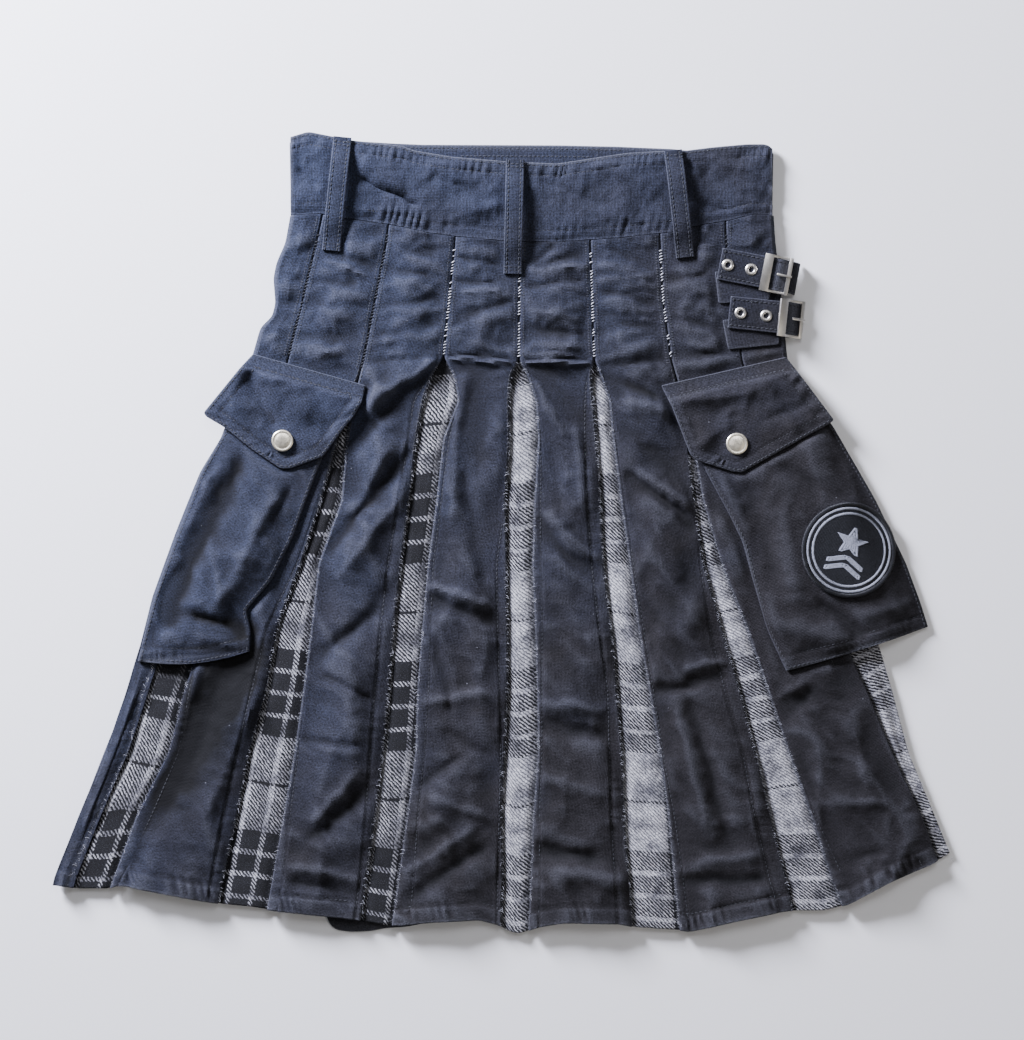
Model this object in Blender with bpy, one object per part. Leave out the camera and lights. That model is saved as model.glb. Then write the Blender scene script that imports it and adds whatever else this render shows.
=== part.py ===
"""Utility kilt laid flat with its pleated side up.

Black canvas panels are sewn edge to edge in a yoke, and below it they part over strips of wool
plaid. The kilt lies on its plain apron. It has a waistband with belt loops, two cargo pockets with
snap flaps, a round badge, and two buckled straps that come round the right side.

Frame: +X to the right and +Y to the waist as seen from above, +Z up off the surface it lies on.
Tables and sizes are in millimetres. The meshes are made in metres.
"""

import math
from collections import namedtuple

import bmesh
import bpy
import numpy as np

MM = 0.001

# Cloth thicknesses and the gap that separate pieces keep
CANVAS = 1.4
WOOL = 1.6
APRON = 1.6
BAND = 2.6
APRON_BAND = 2.4
FLAP = 2.2
STRAP = 1.8
GAP = 0.3

# Heights of the middle of each layer, from the surface up
WOOL_Z = APRON + GAP + WOOL / 2
ALLOWANCE_Z = APRON + GAP + WOOL + GAP + CANVAS / 2
FACE_Z = ALLOWANCE_Z + CANVAS + GAP
SKIRT_TOP = FACE_Z + CANVAS / 2
SEAT = SKIRT_TOP + GAP

# The middle of the waistband at its top and ends, and how far in from an end it has risen
BAND_LOW_Z = 4.0
BAND_RISEN_AT = 25.0

# The turned edge of a panel: how far the allowance reaches in, and how far the wool passes under it
ALLOWANCE = 4.5
WOOL_MARGIN = 4.0
SEAM_GAP = 0.4

# Folds fade out this far from a panel's edge, and a panel's outer side has a round of this size
FOLD_FADE = 9.0
SIDE_ROUND = 1.6

# A crease ridge stands this much over the face where a pleat's return shows beside the wool, set
# in a little from the return's own line
RIDGE_HEIGHT = 0.9
RIDGE_FULL_AT = 6.0
RIDGE_INSET = 1.8

Point = namedtuple("Point", "x y")
Pleat = namedtuple("Pleat", "y left right return_left return_right")
Edge = namedtuple("Edge", "y x")
Fold = namedtuple("Fold", "x0 y0 x1 y1 width height")
PocketRow = namedtuple("PocketRow", "x_left y_left x_right y_right")

# The line where the waistband meets the panels, left to right
WAIST_SEAM = [
    Point(-169, 252), Point(-144, 253), Point(-126, 249.5), Point(-87, 244), Point(-61, 238),
    Point(-33, 234.5), Point(0, 231.5), Point(43, 230.5), Point(93, 234), Point(134, 238.5),
    Point(151, 243), Point(181, 248), Point(198, 252.5), Point(214, 252),
]

# The hem of the pleated side, which dips at each wool insert
HEM = [
    Point(-372, -280), Point(-355, -280.5), Point(-338, -283), Point(-314, -283),
    Point(-306, -281), Point(-300, -281), Point(-271, -287), Point(-230, -294.5),
    Point(-198, -297.5), Point(-183, -300.5), Point(-114, -308), Point(-91, -312.5),
    Point(-74, -311.5), Point(-55, -309.5), Point(-19, -308), Point(-4, -312),
    Point(4, -316.5), Point(12, -319), Point(20, -316.5), Point(29, -313.5), Point(49, -310),
    Point(93, -311), Point(102, -313.5), Point(125, -315), Point(139, -316),
    Point(148, -317.5), Point(182, -309.5), Point(221, -301.5), Point(231, -300.5),
    Point(255, -300.5), Point(275, -295.5), Point(281, -292), Point(305, -278.5),
    Point(340, -264), Point(355, -255),
]

# The upper edge of the waistband, and of the apron's band, which shows above the dip
BAND_TOP = [
    Point(-170, 314), Point(-155, 318.5), Point(-135, 314.5), Point(-120, 311.5),
    Point(-80, 307), Point(-71, 303.5), Point(-41, 298.5), Point(1, 295), Point(43, 293),
    Point(75, 298), Point(98, 301.5), Point(126, 303), Point(142, 303), Point(166, 306),
    Point(194, 308.5), Point(210, 308.5), Point(215, 304),
]
APRON_BAND_TOP = [
    Point(-170, 311), Point(-120, 311.5), Point(-87, 309.5), Point(-64, 308.5), Point(45, 308),
    Point(90, 307), Point(136, 305), Point(144, 304), Point(166, 303.5), Point(215, 302),
]

# The apron's own hem, whose corner shows below the pleats at the left of the middle
APRON_HEM = [
    Point(-355, -277), Point(-300, -278), Point(-230, -291), Point(-142, -302),
    Point(-138, -312), Point(-133, -316.5), Point(-121, -318), Point(-105, -317.3),
    Point(-94, -315), Point(-77, -314), Point(-64, -311.5), Point(-54, -306), Point(0, -306),
    Point(100, -309), Point(147, -313), Point(181, -306), Point(230, -297), Point(275, -292),
    Point(305, -275), Point(340, -261), Point(354, -252),
]

LEFT_SIDE = [
    Edge(314, -166), Edge(252, -169.3), Edge(230, -173.3), Edge(214, -180.4), Edge(202, -182.8),
    Edge(182, -181.2), Edge(171, -184), Edge(163, -193), Edge(142, -199), Edge(105, -213.7),
    Edge(75, -224.5), Edge(48, -241), Edge(25, -250.5), Edge(0, -260.5), Edge(-51, -279),
    Edge(-101, -291.5), Edge(-125, -297.1), Edge(-175, -317.4), Edge(-225, -336.8),
    Edge(-275, -354.5), Edge(-320, -357),
]
RIGHT_SIDE = [
    Edge(304, 215), Edge(252, 215), Edge(230, 216.6), Edge(214, 218.2), Edge(185, 221.4),
    Edge(137, 226.1), Edge(125, 230.1), Edge(105, 236.4), Edge(75, 246), Edge(25, 261.9),
    Edge(-25, 277.7), Edge(-75, 293.6), Edge(-94, 300), Edge(-125, 309.1), Edge(-175, 322.2),
    Edge(-225, 343), Edge(-255, 355.2), Edge(-320, 380),
]

# Each pleat by level: the edges of its wool, which meet in the yoke seam, and how much of each
# pleat return shows between the wool and the crease
PLEATS = {
    1: [
        Pleat(252, -143.5, -143.5, 0, 0), Pleat(230, -148.2, -148.2, 0, 0),
        Pleat(137, -170.9, -170.9, 0, 0), Pleat(105, -179.6, -178, 0, 0),
        Pleat(75, -194.7, -189.9, 0, 0), Pleat(25, -218.5, -208.2, 0, 0),
        Pleat(-25, -242.3, -223.3, 0, 0), Pleat(-75, -266.2, -236.8, 0, 0),
        Pleat(-125, -285.6, -253.1, 2, 4), Pleat(-175, -298.3, -266.1, 9, 8),
        Pleat(-225, -321.7, -291.5, 5, 12), Pleat(-275, -344, -309.8, 0, 6),
        Pleat(-320, -361, -326.5, 0, 5),
    ],
    2: [
        Pleat(252, -90, -90, 0, 0), Pleat(230, -92.7, -92.7, 0, 0),
        Pleat(137, -110.9, -110.9, 0, 0), Pleat(125, -114.1, -114.1, 0, 0),
        Pleat(105, -122.4, -119.3, 0, 0), Pleat(75, -131.2, -124.8, 0, 0),
        Pleat(25, -144.7, -128.8, 2, 0), Pleat(-25, -160.5, -147.1, 3, 0),
        Pleat(-75, -179.2, -152.6, 8, 0), Pleat(-125, -188.3, -159, 11, 2),
        Pleat(-175, -201.8, -166.1, 9.5, 3), Pleat(-225, -211.4, -174.8, 11, 5.5),
        Pleat(-275, -222.5, -183.6, 8.7, 8), Pleat(-320, -230.4, -191.5, 8, 8),
    ],
    3: [
        Pleat(252, -37, -37, 0, 0), Pleat(230, -38.3, -38.3, 0, 0), Pleat(139, -47.2, -47.2, 0, 0),
        Pleat(125, -56.5, -39.5, 0, 0), Pleat(105, -62.9, -35.9, 8, 0),
        Pleat(75, -68.4, -47.8, 6.4, 5), Pleat(25, -74.8, -53.4, 8, 4),
        Pleat(-25, -80.8, -60.1, 10.5, 4.5), Pleat(-75, -86.7, -64.5, 10.3, 6.4),
        Pleat(-125, -90.7, -68.4, 11, 9), Pleat(-175, -95.4, -70, 10.3, 7),
        Pleat(-225, -101.4, -76.4, 7.5, 8.7), Pleat(-275, -108.5, -83.5, 5, 12),
        Pleat(-320, -114.5, -89.9, 5, 15),
    ],
    4: [
        Pleat(252, 13.4, 13.4, 0, 0), Pleat(230, 13.3, 13.3, 0, 0), Pleat(137, 12.5, 12.5, 0, 0),
        Pleat(125, 6.6, 18.9, 0, 0), Pleat(105, 5, 25.6, 0, 0), Pleat(75, 5.4, 27.6, 0, 2.4),
        Pleat(25, 2.2, 24.5, 0, 5), Pleat(-25, 3, 22.9, 8, 6.4), Pleat(-75, 3.8, 25.2, 8, 5.6),
        Pleat(-125, 3.8, 26.8, 6.4, 4), Pleat(-175, 1, 27.6, 2.5, 3),
        Pleat(-225, -1, 23.7, 1.6, 5), Pleat(-275, -0.2, 21.7, 4, 7),
        Pleat(-320, -1.7, 19.7, 3, 8),
    ],
    5: [
        Pleat(252, 69, 69, 0, 0), Pleat(230, 69.3, 69.3, 0, 0), Pleat(137, 72.5, 72.5, 0, 0),
        Pleat(125, 70.1, 76.9, 3, 0), Pleat(105, 71.7, 84, 6.4, 0),
        Pleat(75, 74.5, 86.8, 9.5, 2.4), Pleat(25, 77.3, 93.1, 10.7, 3),
        Pleat(-25, 80, 100.3, 9.5, 3), Pleat(-75, 85.6, 107, 9.5, 4),
        Pleat(-125, 90.4, 115.8, 7, 3.2), Pleat(-175, 94.7, 124.1, 10.3, 2.4),
        Pleat(-225, 96.3, 130.9, 10.5, 5), Pleat(-275, 99.9, 135.6, 11, 7),
        Pleat(-320, 103.1, 140.4, 12, 8),
    ],
    6: [
        Pleat(252, 124, 124, 0, 0), Pleat(230, 124.7, 124.7, 0, 0), Pleat(185, 127.1, 127.1, 0, 0),
        Pleat(137, 133.6, 133.6, 0, 0), Pleat(105, 141.6, 142.8, 0, 0),
        Pleat(75, 146.3, 149.5, 0, 0), Pleat(25, 151.5, 158.6, 0, 1.6),
        Pleat(-25, 159.4, 173.3, 2.4, 1.6), Pleat(-75, 173.7, 192.8, 10, 2.4),
        Pleat(-125, 188, 209.9, 12, 2.4), Pleat(-175, 200.7, 226.9, 10.3, 2),
        Pleat(-225, 212.2, 244.4, 12.5, 3), Pleat(-275, 224.9, 260.3, 13.5, 10),
        Pleat(-320, 234.9, 277.7, 10, 10),
    ],
    7: [
        Pleat(252, 176.5, 176.5, 0, 0), Pleat(230, 177.3, 177.3, 0, 0),
        Pleat(137, 189.6, 189.6, 0, 0), Pleat(105, 198.3, 199.1, 0, 0),
        Pleat(75, 207.1, 210.2, 0, 0), Pleat(25, 222.9, 234.1, 0, 0),
        Pleat(-25, 242.8, 265.8, 8, 0), Pleat(-75, 265.8, 280, 16, 0),
        Pleat(-125, 288.9, 295, 18, 0), Pleat(-175, 309.5, 312, 17.5, 0),
        Pleat(-225, 332.5, 335, 17.5, 0), Pleat(-275, 351, 353, 14, 0),
        Pleat(-320, 368, 370, 14, 0),
    ],
}

# Where the eighth panel runs out under the pocket, so that wool makes the right side below it
LAST_PANEL_END = -30
WOOL_SIDE_FROM = -46

# The largest folds in the panels: a line, a half width across it, and a height
FOLDS = [
    Fold(-228, -150, -268, -262, 15, 1.5), Fold(-236, -108, -290, -230, 9, -0.3),
    Fold(-196, -215, -196, -290, 24, 0.8), Fold(-62, 108, -118, 92, 9, 1.0),
    Fold(-108, 60, -112, -20, 11, 1.3), Fold(-150, -60, -140, -200, 16, 1.2),
    Fold(-118, -235, -150, -225, 12, 1.2), Fold(-22, 118, -28, 40, 12, 1.2),
    Fold(-58, -36, -8, -50, 9, 1.3), Fold(-50, -128, -18, -120, 9, 1.2),
    Fold(-60, -190, -30, -170, 9, 1.1), Fold(-66, -270, -20, -235, 12, 1.3),
    Fold(44, 110, 60, 60, 11, 1.2), Fold(34, 20, 68, -18, 9, 1.4),
    Fold(36, -140, 80, -152, 9, 1.2), Fold(36, -246, 66, -244, 10, 1.2),
    Fold(96, 106, 128, 92, 9, 1.0), Fold(108, 50, 142, 10, 10, 1.3),
    Fold(134, -105, 168, -112, 8, 1.2), Fold(140, -150, 176, -215, 13, 1.3),
    Fold(150, -275, 200, -270, 10, 1.0), Fold(226, -155, 248, -128, 9, 1.1),
    Fold(246, -215, 300, -200, 14, 1.2),
]

# The right pocket's rows from its mouth down, and the height of its outer fold, which comes down
# to the surface past the side of the kilt
POCKET_RIGHT = [
    PocketRow(142, 99, 236, 118), PocketRow(160, 50, 262, 84.5), PocketRow(180, 13, 296, 26),
    PocketRow(190, -8, 309, -1), PocketRow(198, -38, 320.6, -25), PocketRow(209.5, -77.5, 332, -56),
    PocketRow(224.5, -110, 338, -75),
]
OuterFold = namedtuple("OuterFold", "front_z back_z")
POCKET_RIGHT_FOLD = [
    OuterFold(8.4, 6.2), OuterFold(6.6, 4.0), OuterFold(4.6, 1.6), OuterFold(3.8, 0.7),
    OuterFold(3.4, 0.7), OuterFold(3.2, 0.7), OuterFold(3.0, 0.7),
]
POCKET_LEFT = [
    PocketRow(-211, 103, -132, 88), PocketRow(-222.5, 78, -144.7, 56),
    PocketRow(-239.5, 48, -157.4, 22), PocketRow(-248, 25, -167, -4.4),
    PocketRow(-258.5, -0.5, -183.6, -37.8), PocketRow(-277, -51.3, -204, -62),
    PocketRow(-284, -78, -200, -78), PocketRow(-290, -102, -201, -94.2),
]
# The left pocket's bottom edge hangs lower in the middle than at its corners
POCKET_LEFT_SAG = 6.0
POCKET_RIGHT_SAG = 1.5
BELLOWS = 8.0
POCKET_BACK_Z = SEAT + CANVAS / 2
POCKET_FRONT_Z = POCKET_BACK_Z + CANVAS + GAP
POCKET_TOP = POCKET_FRONT_Z + CANVAS / 2

FLAP_LEFT = [
    Point(-198.6, 141.7), Point(-108.9, 116.6), Point(-112.1, 102.7), Point(-118.5, 91.6),
    Point(-128, 80.1), Point(-142.7, 59.9), Point(-168.9, 50.3), Point(-176.4, 50.3),
    Point(-198.7, 65.4), Point(-221.7, 83.7), Point(-235.2, 91.6), Point(-237.6, 94.8),
    Point(-206.6, 132.9),
]
FLAP_RIGHT = [
    Point(125.3, 116.6), Point(224.5, 139.3), Point(262.2, 89.2), Point(258.7, 86.1),
    Point(221.4, 65.4), Point(189.2, 47.2), Point(181.7, 48), Point(153.9, 56.7),
    Point(148.3, 61.5), Point(134, 98.8),
]
FLAP_SEWN_WIDTH = 5.0
FLAP_RISEN_AT = 16.0

SNAP_LEFT = Point(-174.8, 72.6)
SNAP_RIGHT = Point(185.2, 70.2)
SNAP_RADIUS = 8.7
SNAP_HEIGHT = 2.2

BADGE_CENTRE = Point(274, -14)
BADGE_RADIUS = 38.0
BADGE = 1.3

# Belt loops: the middle of the loop at its foot and at the waistband's top
Loop = namedtuple("Loop", "name foot_x foot_y top_x top_y")
BELT_LOOPS = [
    Loop("belt_loop_left", -136.7, 223.5, -127.5, 314),
    Loop("belt_loop_centre", 7.4, 205, 9.4, 296.5),
    Loop("belt_loop_right", 144.4, 218, 134.8, 303.5),
]
LOOP_WIDTH = 14.3
LOOP_CLOTH = 1.8
LOOP_ARCH = 4.7

# Straps, tabs and buckles at the right side
STRAP_WIDTH = 25.4
StrapPath = namedtuple("StrapPath", "x y turn heights")
Height = namedtuple("Height", "run z")
STRAP_UPPER = StrapPath(171.8, 213.2, -11, [
    Height(0, 9.8), Height(20, 9.8), Height(31, 10.5), Height(38, 10.9), Height(46.5, 10.0),
    Height(55, 9.1), Height(59.5, 7.6), Height(62.3, 5.0), Height(63.0, 1.3),
])
STRAP_LOWER = StrapPath(179.3, 174.8, -6, [
    Height(0, 9.8), Height(25, 9.8), Height(34, 10.4), Height(40.2, 10.9), Height(45.2, 9.0),
    Height(49.3, 6.7), Height(53.6, 4.2), Height(58.0, 1.6),
])
TAB_UPPER = [Point(168, 207), Point(171, 181.5), Point(211, 184), Point(215.5, 207)]
TAB_LOWER = [Point(174, 168.5), Point(178.5, 145), Point(219, 149), Point(219.5, 172)]
Buckle = namedtuple("Buckle", "name x y turn tilt")
BUCKLES = [
    Buckle("upper", 208.7, 206.0, -11, 6),
    Buckle("lower", 221.5, 170.3, -6, 30),
]
BUCKLE_Z = 13.2
BUCKLE_LENGTH = 18.0
BUCKLE_BAR = 1.8
KEEPER_WIDTH = 7.0
RAIL_WIDTH = 1.8
RAIL_CLEARANCE = 0.4
CENTRE_BAR = 1.4
CENTRE_BAR_DROP = 4.3
Eyelet = namedtuple("Eyelet", "name x y z")
EYELETS = [
    Eyelet("eyelet_upper_1", 178.2, 212.0, 10.7), Eyelet("eyelet_upper_2", 196.6, 208.4, 11.1),
    Eyelet("eyelet_lower_1", 188.2, 173.9, 10.7), Eyelet("eyelet_lower_2", 208.6, 171.7, 11.1),
]
EYELET_RADIUS = 4.8
EYELET_HOLE = 2.0
EYELET_HEIGHT = 0.9

# Levels down a panel, as shares of the way from the waist seam to the hem
PANEL_LEVELS = [0, 0.09, 0.165, 0.19, 0.215, 0.25, 0.30, 0.36, 0.43, 0.50, 0.57, 0.64, 0.72,
                0.80, 0.87, 0.94, 1.0]
FACE_POINTS = 5

# Base colours, roughness and metalness
FINISHES = {
    "black_canvas": ((0.019, 0.021, 0.035), 0.92, 0.0),
    "grey_plaid_wool": ((0.09, 0.09, 0.10), 0.95, 0.0),
    "badge_twill": ((0.03, 0.03, 0.04), 0.85, 0.0),
    "nickel_plate": ((0.62, 0.60, 0.56), 0.28, 1.0),
    "snap_cap": ((0.80, 0.76, 0.66), 0.32, 1.0),
}


def along(points, at):
    """The y of a left-to-right line of points at one x."""
    return float(np.interp(at, [point.x for point in points], [point.y for point in points]))


def down(rows, at, column):
    """One column of a top-to-bottom table at a height y."""
    return float(np.interp(-at, [-row.y for row in rows], [getattr(row, column) for row in rows]))


def ease(value):
    """A smooth step from 0 to 1."""
    value = min(max(value, 0.0), 1.0)
    return value * value * (3 - 2 * value)


def level_y(x, level):
    """The y of a level between the waist seam and the hem, at one x."""
    top = along(WAIST_SEAM, x) - GAP
    return top + (along(HEM, x) - top) * level


def x_at_level(rows, column, level):
    """Where a line down the kilt crosses a level."""
    y = level_y(0.0, level)
    for _ in range(12):
        x = down(rows, y, column)
        y = level_y(x, level)
    return x


def fold_height(x, y):
    """How far the folds lift the cloth at one place."""
    lift = 0.0
    for fold in FOLDS:
        dx = fold.x1 - fold.x0
        dy = fold.y1 - fold.y0
        length = math.hypot(dx, dy)
        run = ((x - fold.x0) * dx + (y - fold.y0) * dy) / length
        side = ((x - fold.x0) * dy - (y - fold.y0) * dx) / length
        past = max(-run, run - length, 0.0)
        lift += fold.height * math.exp(-(side / fold.width) ** 2 - (past / (1.3 * fold.width)) ** 2)
    return max(-0.3, lift)


def mitred(section, half):
    """The two outlines of a ribbon along a section of (across, z) points."""
    points = np.array(section, float)
    steps = np.diff(points, axis=0)
    steps /= np.linalg.norm(steps, axis=1)[:, None]
    normals = np.column_stack([-steps[:, 1], steps[:, 0]])
    first = np.vstack([normals[:1], normals])
    second = np.vstack([normals, normals[-1:]])
    bisector = first + second
    bisector /= np.linalg.norm(bisector, axis=1)[:, None]
    reach = half / np.clip(np.sum(bisector * first, axis=1), 0.35, 1.0)
    return points + bisector * reach[:, None], points - bisector * reach[:, None]


def add_object(name, vertices, faces, finish):
    """A named object from points in millimetres, with its faces turned outwards."""
    mesh = bpy.data.meshes.new(name)
    mesh.from_pydata([[c * MM for c in vertex] for vertex in vertices], [], faces)
    shape = bmesh.new()
    shape.from_mesh(mesh)
    bmesh.ops.recalc_face_normals(shape, faces=shape.faces)
    shape.to_mesh(mesh)
    shape.free()
    obj = bpy.data.objects.new(name, mesh)
    bpy.context.scene.collection.objects.link(obj)
    obj.data.materials.append(material(finish))
    return obj


def material(finish):
    made = bpy.data.materials.get(finish)
    if made is None:
        colour, roughness, metallic = FINISHES[finish]
        made = bpy.data.materials.new(finish)
        made.use_nodes = True
        shader = made.node_tree.nodes["Principled BSDF"]
        shader.inputs["Base Color"].default_value = (*colour, 1.0)
        shader.inputs["Roughness"].default_value = roughness
        shader.inputs["Metallic"].default_value = metallic
        made.diffuse_color = (*colour, 1.0)
    return made


def ribbon_body(name, sections, place, thickness, finish):
    """A closed cloth wall through sections of one count; place turns (row, across, z) to x, y, z."""
    rows = []
    for index, section in enumerate(sections):
        upper, lower = mitred(section, thickness / 2)
        loop = list(upper) + list(lower[::-1])
        rows.append([place(index, across, z) for across, z in loop])
    count = len(rows[0])
    width = count // 2
    vertices = [vertex for row in rows for vertex in row]
    faces = []
    for row in range(len(rows) - 1):
        for column in range(count):
            after = (column + 1) % count
            faces.append((row * count + column, (row + 1) * count + column,
                          (row + 1) * count + after, row * count + after))
    last = (len(rows) - 1) * count
    for column in range(width - 1):
        mate = count - 1 - column
        faces.append((column, column + 1, mate - 1, mate))
        faces.append((last + column, last + mate, last + mate - 1, last + column + 1))
    return add_object(name, vertices, faces, finish)


def turned_edge(at, inward, low_z, high_z, reach, thickness):
    """Section points of a folded edge, from the allowance's end round to the upper layer.

    at is the visible edge, inward is +1 or -1 along the section, and reach is the allowance.
    """
    tip = at + inward * thickness * 0.5 * math.sqrt(2)
    root = tip + inward * (high_z - low_z) / 2
    middle = (low_z + high_z) / 2
    return [(root + inward * reach, low_z), (root, low_z), (tip, middle), (root, high_z)]


def side_wall(at, inward, foot_z, high_z, thickness):
    """Section points of a side that comes straight down, from its foot up to the upper layer."""
    wall = at + inward * thickness / 2
    return [(wall, foot_z), (wall, (foot_z + high_z) / 2), (wall, high_z - SIDE_ROUND),
            (wall + inward * SIDE_ROUND, high_z)]


def panel_section(number, level):
    """The section of one canvas panel, left to right, as (x, z) points."""
    half_gap = SEAM_GAP / 2
    if number == 0:
        left_x = x_at_level(LEFT_SIDE, "x", level)
        left = side_wall(left_x, 1, APRON + GAP, FACE_Z, CANVAS)
        left_return = 0.0
    else:
        rows = PLEATS[number]
        left_x = x_at_level(rows, "right", level) + half_gap
        left = turned_edge(left_x, 1, ALLOWANCE_Z, FACE_Z, ALLOWANCE, CANVAS)
        left_return = down(rows, level_y(left_x, level), "return_right")
    if number == 7:
        right_x = x_at_level(RIGHT_SIDE, "x", level)
        right = side_wall(right_x, -1, APRON + GAP, FACE_Z, CANVAS)
        right_return = 0.0
    else:
        rows = PLEATS[number + 1]
        right_x = x_at_level(rows, "left", level) - half_gap
        right = turned_edge(right_x, -1, ALLOWANCE_Z, FACE_Z, ALLOWANCE, CANVAS)
        right_return = down(rows, level_y(right_x, level), "return_left")
    start = left[-1][0]
    end = right[-1][0]
    room = (end - start) / 3
    ridge_left = start + min(max(left_return - RIDGE_INSET, 1.0), room)
    ridge_right = end - min(max(right_return - RIDGE_INSET, 1.0), room)
    face = []
    for step in range(FACE_POINTS + 2):
        x = ridge_left + (ridge_right - ridge_left) * step / (FACE_POINTS + 1)
        y = level_y(x, level)
        edge = ease(min(x - start, end - x) / FOLD_FADE)
        z = FACE_Z + fold_height(x, y) * edge
        if step == 0:
            z += RIDGE_HEIGHT * ease(left_return / RIDGE_FULL_AT)
        elif step == FACE_POINTS + 1:
            z += RIDGE_HEIGHT * ease(right_return / RIDGE_FULL_AT)
        face.append((x, z))
    return left + face + right[::-1]


def make_panel(number):
    levels = list(PANEL_LEVELS)
    if number == 7:
        x = down(PLEATS[7], LAST_PANEL_END, "right") + 5
        top = along(WAIST_SEAM, x)
        last = (top - LAST_PANEL_END) / (top - along(HEM, x))
        levels = [level for level in levels if level < last - 0.02] + [last]
    sections = [panel_section(number, level) for level in levels]

    def place(index, x, z):
        return x, level_y(x, levels[index]), z

    return ribbon_body(f"panel_{number}", sections, place, CANVAS, "black_canvas")


def make_insert(number):
    rows = PLEATS[number]
    levels = PANEL_LEVELS
    sections = []
    for level in levels:
        left = x_at_level(rows, "left", level) - WOOL_MARGIN
        right = x_at_level(rows, "right", level) + WOOL_MARGIN
        if number == 7:
            side = x_at_level(RIGHT_SIDE, "x", level)
            y = level_y(side, level)
            share = ease((LAST_PANEL_END - 1 - y) / (LAST_PANEL_END - WOOL_SIDE_FROM))
            right += (side - right) * share
        sections.append([(left + (right - left) * step / 3, WOOL_Z) for step in range(4)])

    def place(index, x, z):
        return x, level_y(x, levels[index]), z

    return ribbon_body(f"insert_{number}", sections, place, WOOL, "grey_plaid_wool")


def make_waistband():
    """The doubled band, whose lower edge rises to meet the panels and whose ends lie down."""
    shares = [0, 0.35, 0.7, 1.0]
    left, right = WAIST_SEAM[0].x, WAIST_SEAM[-1].x
    stations = {point.x for point in WAIST_SEAM + BAND_TOP if left <= point.x <= right}
    sections = []
    for share in shares:
        section = []
        for x in sorted(stations):
            inside = ease(min(x - left, right - x) / BAND_RISEN_AT)
            rise = (SKIRT_TOP - BAND / 2 - BAND_LOW_Z) * share * inside
            section.append((x, BAND_LOW_Z + rise))
        sections.append(section)

    def place(index, x, z):
        top = along(BAND_TOP, x)
        return x, top + (along(WAIST_SEAM, x) - top) * shares[index], z

    return ribbon_body("waistband", sections, place, BAND, "black_canvas")


def plate(name, outline, low, high, finish):
    """A flat piece with one outline, given counterclockwise from above."""
    count = len(outline)
    vertices = [(x, y, low) for x, y in outline] + [(x, y, high) for x, y in outline]
    faces = [tuple(range(count))[::-1], tuple(range(count, 2 * count))]
    for index in range(count):
        after = (index + 1) % count
        faces.append((index, after, count + after, count + index))
    return add_object(name, vertices, faces, finish)


def make_apron():
    hem = [(point.x, point.y) for point in APRON_HEM]
    right = [(edge.x, edge.y) for edge in RIGHT_SIDE[::-1] if -250 < edge.y < 251]
    top = [(point.x, point.y - GAP) for point in WAIST_SEAM[::-1]]
    left = [(edge.x, edge.y) for edge in LEFT_SIDE if -276 < edge.y < 251]
    plate("apron", hem + right + top + left, 0.0, APRON, "black_canvas")
    seam = [(point.x, point.y) for point in WAIST_SEAM]
    upper = [(point.x, point.y) for point in APRON_BAND_TOP[::-1]]
    plate("apron_waistband", seam + upper, 0.0, APRON_BAND, "black_canvas")


def make_belt_loop(loop):
    """A strip whose ends lie on the cloth and whose middle stands clear for a belt."""
    peak = SKIRT_TOP + SEAM_GAP + LOOP_ARCH + LOOP_CLOTH / 2
    foot = SEAT + LOOP_CLOTH / 2
    top = BAND_LOW_Z + BAND / 2 + GAP + SEAM_GAP + LOOP_CLOTH / 2
    profile = [(0.0, foot), (0.07, foot), (0.15, foot + 1.6), (0.24, peak - 0.7), (0.34, peak),
               (0.50, peak), (0.64, peak), (0.76, peak - 1.3), (0.88, top + 1.4), (0.95, top),
               (1.0, top)]
    run = math.hypot(loop.top_x - loop.foot_x, loop.top_y - loop.foot_y)
    ux, uy = (loop.top_x - loop.foot_x) / run, (loop.top_y - loop.foot_y) / run
    section = [(share * run, z) for share, z in profile]
    sides = [-LOOP_WIDTH / 2, LOOP_WIDTH / 2]

    def place(index, across, z):
        side = sides[index]
        return (loop.foot_x + ux * across + uy * side, loop.foot_y + uy * across - ux * side, z)

    return ribbon_body(loop.name, [section, section], place, LOOP_CLOTH, "black_canvas")


def pocket_section(row, width, outer, edge_run, drop):
    """Across one row of a pocket: bellows fold, front, and bellows or outer fold."""
    left = turned_edge(0.0, 1, POCKET_BACK_Z, POCKET_FRONT_Z, BELLOWS, CANVAS)
    if outer is None:
        right = turned_edge(width, -1, POCKET_BACK_Z, POCKET_FRONT_Z, BELLOWS, CANVAS)
        high = POCKET_FRONT_Z
        edge_run = width
    else:
        high = outer.front_z
        back = max(width - edge_run - 4.0, 1.2)
        right = turned_edge(width, -1, outer.back_z, high, back, CANVAS)
    start, end = left[-1][0], right[-1][0]
    front = []
    for step in range(1, 8):
        across = start + (end - start) * step / 8
        share = ease((across - edge_run) / max(end - edge_run, 1.0)) if outer else 0.0
        inside = ease(min(across - 12, width - 12 - across) / 10.0) if drop else 0.0
        front.append((across, POCKET_FRONT_Z + (high - POCKET_FRONT_Z) * share - drop * inside))
    return left + front + right[::-1]


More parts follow.
